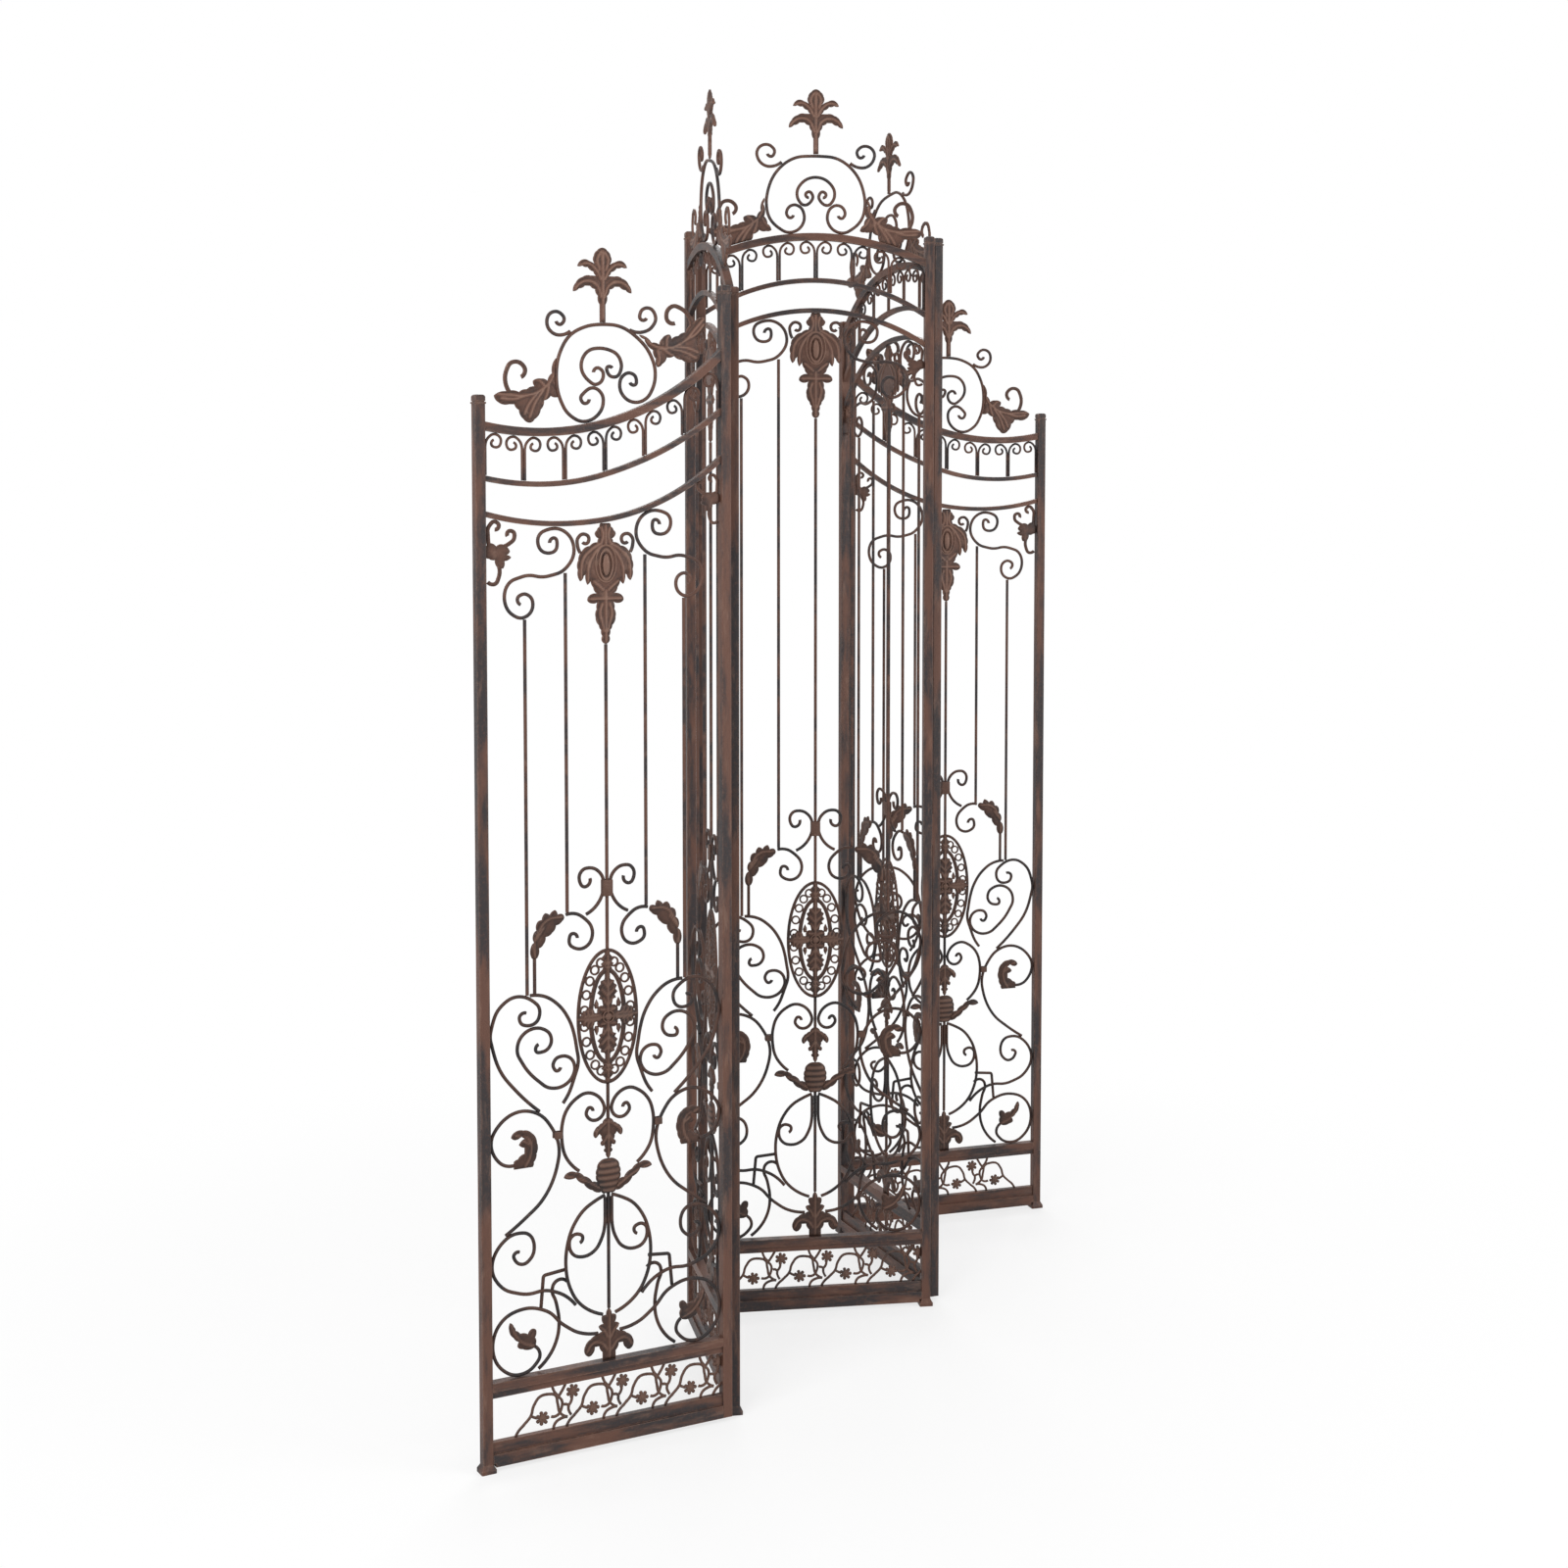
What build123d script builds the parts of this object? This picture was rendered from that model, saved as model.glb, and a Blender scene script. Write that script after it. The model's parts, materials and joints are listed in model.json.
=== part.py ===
"""A folding floor screen of five wrought iron panels with cast ornaments.

Every panel hangs between two square tube posts: arched rails, a crest and scrolls at the top,
pickets in the middle, scrollwork round an oval medallion below, and a vine frieze at the foot.
Pin hinges join the panels in a zigzag. Lengths are millimetres, +Z is up, X runs along the
centre panel and -Y is the front. The origin is on the floor, under the middle of the screen.
"""
import os
from math import atan2, cos, pi, radians, sin, sqrt, tan

from build123d import *

# ---------------------------------------------------------------- driving sizes
# Posts
post_size = 18.0
post_wall = 1.6
post_edge = 1.5
post_pitch = 450.0
outer_height = 1800.0
inner_height = 1993.0
centre_height = 2131.0
cap_height = 15.0
cap_lip = 1.0
cap_skirt = 3.0
cap_groove = 1.6
cap_round = 4.5
foot_height = 14.0
foot_size = 27.0
foot_sole = 6.0
foot_round = 2.5

# Rails
top_rail_height = 14.0
top_rail_depth = 14.0
rail_reach = 3000.0
low_rail_height = 9.0
low_rail_depth = 10.0
base_bottom = 8.0
base_band = 22.0
base_strip = 20.0
base_depth = 18.0
strip_depth = 10.0
window_height = 75.0
cover_strip = 12.0
cover_band = 15.0

# Round bars and welds
bar = 6.0
crook_bar = 4.6
weld = 0.2
bend_gap = 0.4
picket_pitch = 73.25

# Crooks between the top two rails, and the scrolls hung below
crook_side = 2.4
crook_drop = 24.0

# Castings
casting_depth = 8.0
lobe_bulge = 0.12
notch_share = 0.19
spray_cut = 18.0
stem_thick = 7.0
corner_thick = 6.5
boss_lift = 2.0
boss_width = 15.0
boss_length = 40.0
boss_drop = 70.0
palmette_height = 90.0
fleur_top = 573.0
fleur_height = 70.0
cup_bottom = 443.0
cup_depth = 14.0
cup_width = 22.0
cup_foot = 10.0
cup_neck = 3.0
cup_rib = 11.0
cup_ribs = 5
cup_bulge = 1.6
medallion_height = 749.0
medallion_wide = 57.0
medallion_long = 116.5
outer_ring = 6.0
inner_wide = 35.0
inner_long = 83.0
inner_ring = 8.0
cross_arm = 9.0
cross_hub = 15.0
pierce_out = 11.0
pierce_ring = 8.0
pierce_hole = 5.0
boss_round = 5.6
fret_count = 22
fret_curl = 8.9
fret_bar = 3.2
collar_thickness = 2.5
collar_corner = 1.5
horn_collar = 970.0
collar_width = 18.0
collar_height = 28.0
side_collar = (-93.5, 556.0)
small_collar_width = 14.0
small_collar_height = 12.0
vine_depth = 5.0
vine_width = 4.6
vine_repeat = 93.0
flower_radius = 7.6
petal_radius = 3.3
petals = 7
vine_start = -53.0

# Hinges
hinge_gap = 4.0
barrel = 9.0
barrel_stand = 0.5
pin = 5.0
pin_fit = 0.05
knuckle = 18.0
knuckle_gap = 0.4
leaf_thickness = 2.0
leaf_width = 12.0
hinge_heights = (220.0, 960.0, 1560.0)
pin_head = 3.0
pin_play = 0.2

# Angles between neighbouring panels as the screen stands, from left to right
corner_angles = (106.7, 87.2, 76.6, 85.9)

# ---------------------------------------------------------------- sizes that follow
half_pitch = post_pitch / 2
half_post = post_size / 2
half_bay = half_pitch - half_post
bar_seat = bar / 2 + weld
back_layer = bar + weld
post_crook = half_bay - crook_bar / 2 - weld
window_bottom = base_bottom + base_band + base_strip
window_top = window_bottom + window_height
cover_top = window_top + cover_strip + cover_band
hinge_side = half_post + hinge_gap / 2
hinge_off = half_post + barrel / 2 + barrel_stand

# ---------------------------------------------------------------- shapes of the rails
# Middle lines, measured from the left post's middle line and the floor
rail_heights = {
    "outer": (
        [(0, 1751), (140, 1741), (300, 1781), (450, 1883)],
        [(0, 1666), (140, 1655), (300, 1696), (450, 1784)],
        [(0, 1608), (140, 1588), (300, 1613), (450, 1704)],
    ),
    "inner": (
        [(0, 1954), (120, 2050), (270, 2087), (450, 2061)],
        [(0, 1858), (120, 1961), (270, 2002), (450, 1970)],
        [(0, 1801), (120, 1902), (270, 1943), (450, 1911)],
    ),
    "centre": (
        [(0, 2075), (225, 2127), (450, 2075)],
        [(0, 1973), (225, 2043), (450, 1973)],
        [(0, 1915), (225, 1985), (450, 1915)],
    ),
}

# ---------------------------------------------------------------- shapes of the upper bars
# A crook's head, from its picket line and the level that just meets the top rail
crook_shape = [(8, -8), (18, -2.5), (30, -13), (22, -24), (13, -17), (17, -12)]
# The S and C scrolls, from the left post and the level that just meets the third rail
s_scroll = [
    (124, -27), (130, -19), (137, -34), (116, -43), (103, -21), (130, -3.2), (157, -13), (168, -38),
    (150, -72), (122, -82), (75, -82), (50, -94), (43, -118), (55, -143), (76, -150), (93, -133),
    (88, -115), (76, -111), (66, -120), (71, -128),
]
c_scroll = [(178.8, -49), (174.5, -38), (175, -25), (185, -18), (195, -25), (190, -34), (184, -32)]
picket_bottoms = (800.4, 934.2, 865.7, 934.2, 800.4)
picket_drops = (153.2, 77.5)
pendant_length = 204.0
pendant_seat = 8.0

# Left halves of the even crest, from the panel's middle line and the top rail
crest_loop = [
    (-44, 37), (-50, 32), (-57, 38), (-56, 48), (-43, 57), (-31, 53), (-23, 38), (-27, 18), (-53, 4),
    (-75, 14), (-88, 27), (-97, 60), (-95, 79), (-78, 119), (-48, 144), (0, 151),
]
crest_inner = [
    (-14, 71.4), (-20, 76.4), (-15, 82.4), (-6, 74.4), (-10, 63.4), (-23, 56.9), (-34, 66.4),
    (-37, 80.4), (-25, 101.4), (0, 110.4),
]
crest_tendril = [
    (-67.5, 138.7), (-82, 131), (-98, 131), (-113, 144), (-115, 159), (-103, 171), (-88, 169), (-81, 157),
    (-88, 149), (-95, 154),
]
even_finial = 154.8
even_spray = (-101.0, 70.0)

# The outer panels' crest, which leans towards the screen's middle
outer_loop = [
    (-28, 41), (-36, 34), (-43, 41), (-36, 53), (-20, 60), (-5, 50), (-3, 32), (-16, 12), (-38, 4),
    (-64, 15), (-81, 42), (-87, 78), (-82, 113), (-60, 148), (-35, 161), (-3, 166), (30, 163),
    (60, 146), (83, 121), (94, 88), (90, 63), (76, 43), (56, 37), (37, 45), (28, 63), (33, 80),
    (47, 86), (58, 78), (55, 66), (47, 70),
]
outer_inner = [
    (-20, 86), (-15, 93), (-5, 90), (-3, 76), (-15, 66), (-30, 73), (-42, 93), (-35, 116), (-2, 126),
    (29, 108), (31, 94), (20, 79), (7, 84), (7, 96), (14, 94),
]
outer_left_tendril = [
    (-62, 153), (-75, 147), (-90, 148), (-103, 163), (-95, 183), (-80, 183), (-73, 170), (-82, 164),
    (-87, 169),
]
outer_right_tendril = [
    (47, 158), (70, 155), (87, 163), (95, 181), (80, 196), (67, 188), (68, 176), (78, 178),
]
outer_finial = (-3.0, 169.2)
outer_sprays = ((-87.6, 108.0, -1, 0.0), (64.5, 150.5, 1, 45.0))

# ---------------------------------------------------------------- shapes of the upper castings
# Right half of the finial, from its seat, top down
finial_edge = [
    (0, 124), (9, 119), (15, 110), (16, 101), (12, 95), (24, 101), (36, 103), (45, 92), (36, 93),
    (26, 91), (16, 84), (11, 77), (22, 77), (36, 74), (48, 64), (53, 50), (43, 55), (32, 60),
    (22, 60), (13, 55), (8, 44), (5, 30), (5, 0),
]
# The left spray, from the tip that meets the crest
spray_edge = [
    (0, 0), (-7, -25), (-15, -38), (-27, -34), (-41, -38), (-38, -47), (-52, -52), (-66, -57),
    (-87, -56), (-110, -63), (-102, -74), (-84, -77), (-74, -77), (-66, -86), (-58, -101),
    (-47, -107), (-39, -101), (-28, -85), (-22, -70), (-10, -62), (4, -64), (14, -62), (6, -50),
    (-0.5, -36), (-2, -12),
]
spray_stem = [(-70, -68), (-87, -50), (-89, -25), (-77, -8), (-62, -10), (-55, -22), (-62, -32)]
# Right half of the pendant, from its top
pendant_edge = [
    (0, 0), (8, 0), (10, -6), (15, -12), (19, -18), (12, -26), (14, -32), (28, -38), (42, -46),
    (49, -62), (50, -78), (46, -97), (40, -88), (36, -84), (33, -103), (27, -95), (22, -108),
    (16, -118), (30, -122), (33, -130), (24, -135), (14, -132), (16, -145), (18, -158), (12, -172),
    (8, -180), (6, -190), (7, -198), (0, -204),
]
# The left corner leaf, from the post's face
corner_body = [
    (0, 2), (10, 12), (20, 6), (30, 10), (44, -2), (38, -8), (46, -12), (34, -18), (32, -30),
    (22, -28), (18, -16), (8, -14), (0, -10),
]
corner_stems = [
    [(8, 5), (6, 20), (8, 40), (18, 47), (25, 40), (18, 34)],
    [(28, 5), (42, 10), (52, 20), (50, 30), (41, 30), (40, 23)],
    [(24, -25), (25, -42), (15, -56), (5, -52)],
]

# Size of the left and right corner leaves under each arch
corner_scales = {"outer": (1.0, 0.8), "inner": (0.56, 0.75), "centre": (0.75, 0.75)}

# ---------------------------------------------------------------- shapes of the lower bars
# Left halves, from the left post's middle line and the floor
side_scroll = [
    (76, 771), (66, 768), (66, 756), (80, 749), (94, 753), (101, 770), (82, 794), (60, 800),
    (29, 784), (15, 754), (12.2, 735), (15, 721), (29, 679), (61, 637), (99, 601),
]
shoulder_scroll = [
    (84, 799.5), (108, 796), (135, 778), (155, 749), (165, 717), (167, 705), (170.4, 675), (163, 650),
    (150, 620), (142, 609),
]
inner_scroll = [
    (98, 715), (93, 706), (108, 702), (120, 712), (120, 728), (105, 741), (88, 742.8), (65, 728),
    (60, 708), (70, 685), (95, 655), (120, 638), (140, 638), (158, 650), (164, 668), (158, 683),
    (142, 690), (128, 685), (125, 673), (133, 666), (138, 671),
]
shoulder_hook = [
    (149.4, 930.3), (168, 930), (183, 921), (196, 905), (198, 894), (187, 873), (171, 870),
    (155, 885), (162, 897), (170, 889),
]
horn = [
    (194, 988), (187, 975), (174, 990), (180, 1003), (195, 1006), (214, 994), (218.8, 970),
    (211, 948), (186.5, 927.5),
]
heart = [
    (170.6, 488.8), (160, 498), (145, 520), (139.7, 545), (140, 570), (148, 595), (165, 613),
    (185, 621), (205, 614), (216, 600), (218.5, 590), (213, 577), (203, 572), (190, 576), (185, 588),
    (192, 595), (197, 589),
]
leaf_scroll = [
    (36.5, 397.5), (70, 420), (105, 450), (128, 493), (133.5, 540), (123, 567), (98, 596), (63, 605),
    (30, 590), (12.2, 557), (18, 535), (39, 516), (52.2, 514.6),
]
middle_scroll = [
    (163, 258), (145, 276), (120, 289), (63, 294), (30, 310), (12.2, 345), (25, 380), (56, 398),
    (80, 392), (88, 374), (82, 352), (68, 344), (54, 352), (52, 363), (61, 366),
]
oval = [
    (218.4, 439.7), (200, 432), (180, 420), (160, 395), (148, 360), (145.5, 330), (152, 292),
    (168, 262), (190, 243), (213, 232.6),
]
bud_scroll = [
    (204.3, 201), (170, 208), (142, 226), (110, 256), (68, 267), (30, 253), (12.2, 210), (25, 174),
    (58, 155.5), (85, 164), (97, 186), (88.2, 199.2),
]
lower_shapes = (
    side_scroll, shoulder_scroll, inner_scroll, shoulder_hook, horn, heart, leaf_scroll, middle_scroll,
    oval, bud_scroll,
)
shoulder_line = 92.0
shoulder_foot = 802.2
shoulder_top = 861.0
drop_line = 218.8
drop_top = 436.0
drop_scroll = [
    (218.8, 400), (212, 365), (200, 347), (180, 339), (160, 345), (152.2, 362), (155, 375),
    (167, 380), (177, 372), (172, 364),
]
inner_bracket = [
    (150, 299), (125, 297), (123, 290), (130, 265), (135, 235), (133, 210), (120, 180), (97, 157),
]
outer_bracket = [(147, 320), (107, 316), (102, 260)]
bracket_corner = 5.0

# ---------------------------------------------------------------- shapes of the lower castings
fleur_edge = [
    (0, 0), (6, -2), (10, -8), (17, -12), (24, -18), (27, -26), (24, -32), (19, -28), (16, -24),
    (12, -30), (10, -38), (14, -42), (12, -47), (6, -45), (5, -52), (8, -56), (4, -60), (2, -68),
    (0, -70),
]
palmette_edge = [
    (0, 90), (5, 78), (13, 76), (10, 63), (19, 60), (12, 50), (20, 46), (34, 40), (44, 30), (45, 17),
    (38, 11), (31, 15), (27, 26), (18, 26), (12, 14), (12, 0.2),
]
cup_leaf = [
    (210, 446), (195, 452), (180, 465), (165, 478), (143, 480), (150, 488), (165, 487), (180, 478),
    (195, 466), (207, 462),
]
shoulder_leaf = [
    (88, 861.2), (86, 880), (92, 888), (90, 900), (96, 908), (98, 922), (106, 925), (112, 936),
    (120, 932), (130, 940), (134, 931), (143, 932), (146, 926), (142, 920), (131, 914), (124, 902),
    (112, 896), (108, 884), (100, 878), (96, 861.2),
]
hook_leaf = [
    (52.5, 520), (52.5, 508), (86, 508), (88, 516), (93, 530), (94, 548), (85, 566), (70, 572),
    (55, 571), (48, 562), (55, 558), (66, 563), (74, 558), (62, 548), (72, 543), (72, 532), (60, 524),
]
bud_leaf = [
    (44, 247), (42, 235), (50, 220), (60, 212), (57, 203), (65, 199), (85, 197), (90, 205),
    (88, 215), (90, 228), (83, 230), (76, 222), (62, 225), (53, 232), (50, 240),
]

# ---------------------------------------------------------------- shapes of the vine frieze
# One repeat, from its own start and the floor
vine_stems = (
    [(-27, 50), (-22, 58), (-11, 68), (0, 79), (7, 98), (17, 110), (32, 112), (46, 107), (50, 92),
     (54, 76), (68, 66)],
    [(40, 125), (43, 116), (52, 104), (58, 95), (57, 83), (51, 73), (38, 72)],
    [(65, 125), (60, 116), (53, 106)],
    [(42, 50), (46, 60), (55, 65), (68, 66)],
    [(75, 68), (70, 78), (69, 86), (61, 88)],
    [(69, 85), (74, 90), (76, 99)],
    [(1, 80), (6, 77), (13, 74)],
)
vine_flowers = ((78, 109), (22, 72))


# ---------------------------------------------------------------- lines and arcs
def round_piece(start, end, way):
    """One arc from start to end that leaves start along way, or a line where it is straight."""
    chord = end - start
    lean = atan2(chord.X * way.Y - chord.Y * way.X, chord.dot(way))
    if abs(lean) < 0.002:
        Line(tuple(start), tuple(end))
    else:
        rise = Vector(-chord.Y, chord.X) * (tan(lean / 2) / 2)
        ThreePointArc(tuple(start), tuple(start + chord / 2 + rise), tuple(end))


def smooth_run(points, first=None, last=None):
    """Joins points with pairs of arcs, each tangent to the one before, inside a BuildLine."""
    spots = [Vector(*point) for point in points]
    steps = [after - before for before, after in zip(spots, spots[1:])]
    ways = []
    for before, after in zip(steps, steps[1:]):
        ways.append((before.normalized() * after.length + after.normalized() * before.length).normalized())
    if not ways:
        ways.append(steps[0].normalized())
    start_side = steps[0].normalized()
    end_side = steps[-1].normalized()
    start_way = Vector(*first) if first else start_side * (2 * start_side.dot(ways[0])) - ways[0]
    end_way = Vector(*last) if last else end_side * (2 * end_side.dot(ways[-1])) - ways[-1]
    if len(spots) > 2:
        ways = [start_way, *ways, end_way]
    else:
        ways = [start_way, end_way]
    for spot, step, way, next_way in zip(spots, steps, ways, ways[1:]):
        slack = 2 * (1 - way.dot(next_way))
        along = step.dot(way + next_way)
        if slack < 1e-6:
            reach = step.dot(step) / (2 * along)
        else:
            reach = (sqrt(along**2 + slack * step.dot(step)) - along) / slack
        leave = spot + way * reach
        arrive = spot + step - next_way * reach
        middle = (leave + arrive) / 2
        round_piece(spot, middle, way)
        round_piece(middle, spot + step, (arrive - leave).normalized())


def round_bar(points, size=bar, layer=0.0, stem=None, first=None, last=None):
    """A round bar bent through points (across, up); stem is a straight start before the bend."""
    with BuildPart() as piece:
        with BuildLine(Plane.XZ.offset(-layer)) as path:
            if stem:
                Line(stem, points[0])
                way = (Vector(*points[0]) - Vector(*stem)).normalized()
                first = (way.X, way.Y)
            smooth_run(points, first, last)
        with BuildSketch(Plane(origin=path.line @ 0, z_dir=path.line % 0)):
            Circle(size / 2)
        sweep()
    return piece.part


def straight_bar(across, bottom, top, size=bar):
    """An upright round bar."""
    with BuildPart() as piece:
        with BuildSketch(Plane.XY.offset(bottom)):
            with Locations((across, 0)):
                Circle(size / 2)
        extrude(amount=top - bottom)
    return piece.part


def flip(points):
    """The same points on the other side of the panel's middle line."""
    return [(-across, up) for across, up in points]


def shift(points, across, up):
    """The same points moved across and up."""
    return [(x + across, z + up) for x, z in points]


def turn(points, degrees):
    """The same points turned about their own origin."""
    c, s = cos(radians(degrees)), sin(radians(degrees))
    return [(x * c - z * s, x * s + z * c) for x, z in points]


def from_post(points):
    """Points measured from the left post's middle line, measured from the panel's middle instead."""
    return shift(points, -half_pitch, 0)


def both_sides(points, layer=0.0, stem=None):
    """A bent bar and its mirror image, drawn on the left half of the panel."""
    left = from_post(points)
    left_stem = from_post([stem])[0] if stem else None
    right_stem = flip([left_stem])[0] if stem else None
    return [
        round_bar(left, layer=layer, stem=left_stem),
        round_bar(flip(left), layer=layer, stem=right_stem),
    ]


def whole_edge(half):
    """A closed edge from its right half, listed from the top down."""
    return half + [(-x, z) for x, z in reversed(half) if x > 0]


def notch_at(before, corner, after, clockwise):
    """The angle left open outside a leaf's corner, in radians."""
    back = atan2(before[1] - corner[1], before[0] - corner[0])
    ahead = atan2(after[1] - corner[1], after[0] - corner[0])
    return (back - ahead if clockwise else ahead - back) % (2 * pi)


def lobed_plate(edge, stems=(), stem_width=stem_thick):
    """A flat casting: a leaf edged with shallow arcs, and curling stems of an even width.

    Level and upright edges stay straight, as they are the casting's seats. Arcs that share a
    tight notch are flatter, so that they don't meet across it.
    """
    sides = list(zip(edge, edge[1:] + edge[:1]))
    clockwise = sum(end[0] * start[1] - start[0] * end[1] for start, end in sides) > 0
    corners = zip(edge[-1:] + edge[:-1], edge, edge[1:] + edge[:1])
    bows = [min(lobe_bulge, tan(notch_share * notch_at(*corner, clockwise)) / 2) for corner in corners]
    with BuildPart() as piece:
        with BuildSketch(Plane.XZ):
            with BuildLine():
                for (start, end), bow, next_bow in zip(sides, bows, bows[1:] + bows[:1]):
                    if start[0] == end[0] or start[1] == end[1]:
                        Line(start, end)
                    else:
                        gap = sqrt((end[0] - start[0]) ** 2 + (end[1] - start[1]) ** 2)
                        sagitta = gap * min(bow, next_bow)
                        SagittaArc(start, end, sagitta if clockwise else -sagitta)
            make_face()
            for stem in stems:
                with BuildLine():
                    smooth_run(stem)
                trace(line_width=stem_width)
        extrude(amount=casting_depth / 2, both=True)
    return piece.part


def bracket_bar(points, corner, layer):
    """A round bar with straight runs and a rounded corner."""
    with BuildPart() as piece:
        with BuildLine(Plane.XZ.offset(-layer)) as path:
            FilletPolyline(*points, radius=corner)
        with BuildSketch(Plane(origin=path.line @ 0, z_dir=path.line % 0)):
            Circle(bar / 2)
        sweep()
    return piece.part


# ---------------------------------------------------------------- arched rails
def spots_on(points, count=200):
    """Evenly spaced spots along a smooth run, as a list of points."""
    with BuildLine() as path:
        smooth_run(points)
    whole = Wire(path.line.edges())
    spots = [whole @ (number / count) for number in range(count + 1)]
    return [(spot.X, spot.Y) for spot in spots]


def arch_at(profile, across):
    """Height and slope of a rail's middle line, given as spots, at a distance from the panel's middle."""
    for (x, z), (next_x, next_z) in zip(profile, profile[1:]):
        if across <= next_x:
            break
    slope = (next_z - z) / (next_x - x)
    return z + slope * (across - x), slope


def rail_top(line, thickness, across):
    """Height of a rail's upper edge at a distance from the panel's middle line."""
    height, slope = arch_at(line, across)
    return height + thickness / 2 * sqrt(1 + slope**2)


def rail_under(line, thickness, across):
    """Height of a rail's lower edge at a distance from the panel's middle line."""
    return 2 * arch_at(line, across)[0] - rail_top(line, thickness, across)


def clear_of(line, size, across):
    """Room a bent bar needs above or below a sloping rail that it only touches through a weld."""
    return (size / 2 + bend_gap) * sqrt(1 + arch_at(line, across)[1] ** 2)


def hung_from(line, thickness, points, size):
    """The highest level for a bent shape that hangs under a rail."""
    return min(rail_under(line, thickness, x) - z - clear_of(line, size, x) for x, z in spots_on(points))


def stood_on(line, thickness, points, size):
    """The lowest level for a bent shape that stands on a rail."""
    return max(rail_top(line, thickness, x) - z + clear_of(line, size, x) for x, z in spots_on(points))


def arched_rail(heights, thickness, depth):
    """A flat bar bent to an arch and cut off at the post faces."""
    with BuildPart() as piece:
        with BuildSketch(Plane.XZ):
            with BuildLine():
                smooth_run(from_post(heights))
            trace(line_width=thickness)
            with Locations((0, rail_reach / 2)):
                Rectangle(2 * half_bay, rail_reach, mode=Mode.INTERSECT)
        extrude(amount=depth / 2, both=True)
    return piece.part


# ---------------------------------------------------------------- upper bars
def crook(top_rail, second_rail, across, side):
    """A shepherd's crook from the second rail up to the top rail; side is 1 or -1 for its lean."""
    stem = across + side * crook_side
    edges = (stem - crook_bar / 2, stem + crook_bar / 2)
    foot = bend_gap + max(rail_top(second_rail, low_rail_height, edge) for edge in edges)
    head = [(across + side * x, z) for x, z in crook_shape]
    level = hung_from(top_rail, top_rail_height, head, crook_bar)
    curl = [(stem, level - crook_drop)] + shift(head, 0, level)
    return round_bar(curl, size=crook_bar, stem=(stem, foot))


def crooks(top_rail, second_rail):
    """Crooks back to back over every picket, and one leaning from each post."""
    pieces = []
    for number in range(-2, 3):
        for side in (-1, 1):
            pieces.append(crook(top_rail, second_rail, number * picket_pitch, side))
    for side in (-1, 1):
        pieces.append(crook(top_rail, second_rail, -side * (post_crook + crook_side), side))
    return pieces


def scroll_level(third_rail, side):
    """Level of the S scroll on one side."""
    points = from_post(s_scroll)
    return hung_from(third_rail, low_rail_height, points if side < 0 else flip(points), bar)


def pendant_level(third_rail):
    """Level of the pendant's top."""
    edges = (-pendant_seat, pendant_seat)
    return min(rail_under(third_rail, low_rail_height, edge) for edge in edges) - bend_gap


def under_scrolls(third_rail):
    """An S scroll and a small C scroll on each side, hung under the third rail."""
    pieces = []
    for side in (-1, 1):
        for shape, level in (
            (s_scroll, scroll_level(third_rail, side)),
            (c_scroll, pendant_level(third_rail)),
        ):
            points = shift(from_post(shape), 0, level)
            pieces.append(round_bar(points if side < 0 else flip(points)))
    return pieces


def pickets(third_rail):
    """Five upright rods between the upper and lower scrolls."""
    left = scroll_level(third_rail, -1)
    right = scroll_level(third_rail, 1)
    outer_drop, inner_drop = picket_drops
    tops = (
        left - outer_drop,
        left - inner_drop,
        pendant_level(third_rail) - pendant_length - weld,
        right - inner_drop,
        right - outer_drop,
    )
    pieces = []
    for number, bottom, top in zip(range(-2, 3), picket_bottoms, tops):
        pieces.append(straight_bar(number * picket_pitch, bottom, top))
    return pieces


def even_crest(top_rail):
    """The symmetrical crest's bars, its loop first, and the level it stands at."""
    slope = arch_at(top_rail, 0)[1]
    shapes = [
        crest_loop + flip(crest_loop[-2::-1]),
        crest_inner + flip(crest_inner[-2::-1]),
        crest_tendril,
        flip(crest_tendril),
    ]
    leaning = [[(x, z + slope * x) for x, z in points] for points in shapes]
    level = stood_on(top_rail, top_rail_height, leaning[0], bar)
    return [shift(points, 0, level) for points in leaning], level


def outer_crest(top_rail):
    """The outer panels' crest bars, the loop first, and the level it stands at."""
    level = stood_on(top_rail, top_rail_height, outer_loop, bar)
    shapes = (outer_loop, outer_inner, outer_left_tendril, outer_right_tendril)
    return [shift(points, 0, level) for points in shapes], level


# ---------------------------------------------------------------- upper castings
def finial(across, level):
    """A cast leaf standing on the top of a crest."""
    return lobed_plate(shift(whole_edge(finial_edge), across, level))


def spray(top_heights, crest, across, level, side, lean=0.0):
    """A cast leaf spray with a hooked stem, fitted between the side of a crest and the rail below."""
    leaf = spray_edge if side < 0 else flip(spray_edge)
    stem = spray_stem if side < 0 else flip(spray_stem)
    leaf = lobed_plate(shift(turn(leaf, lean), across, level), [shift(turn(stem, lean), across, level)])
    with BuildPart() as piece:
        add(leaf)
        with BuildSketch(Plane.XZ):
            with BuildLine():
                smooth_run(shift(from_post(top_heights), 0, -spray_cut))
            trace(line_width=2 * spray_cut + top_rail_height + 2 * weld)
            with BuildLine():
                smooth_run(crest)
            trace(line_width=bar + 4 * weld)
        extrude(amount=casting_depth, both=True, mode=Mode.SUBTRACT)
    return piece.part.solids().sort_by(SortBy.VOLUME)[-1]


def pendant(third_rail):
    """A cast leaf drop hung under the middle of the third rail, with an oval boss on its front."""
    level = pendant_level(third_rail)
    leaf = lobed_plate(shift(whole_edge(pendant_edge), 0, level))
    with BuildPart() as piece:
        add(leaf)
        with BuildSketch(Plane.XZ.offset(casting_depth / 2)):
            with Locations((0, level - boss_drop)):
                Ellipse(boss_width / 2, boss_length / 2)
        extrude(amount=boss_lift)
    return piece.part


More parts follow.
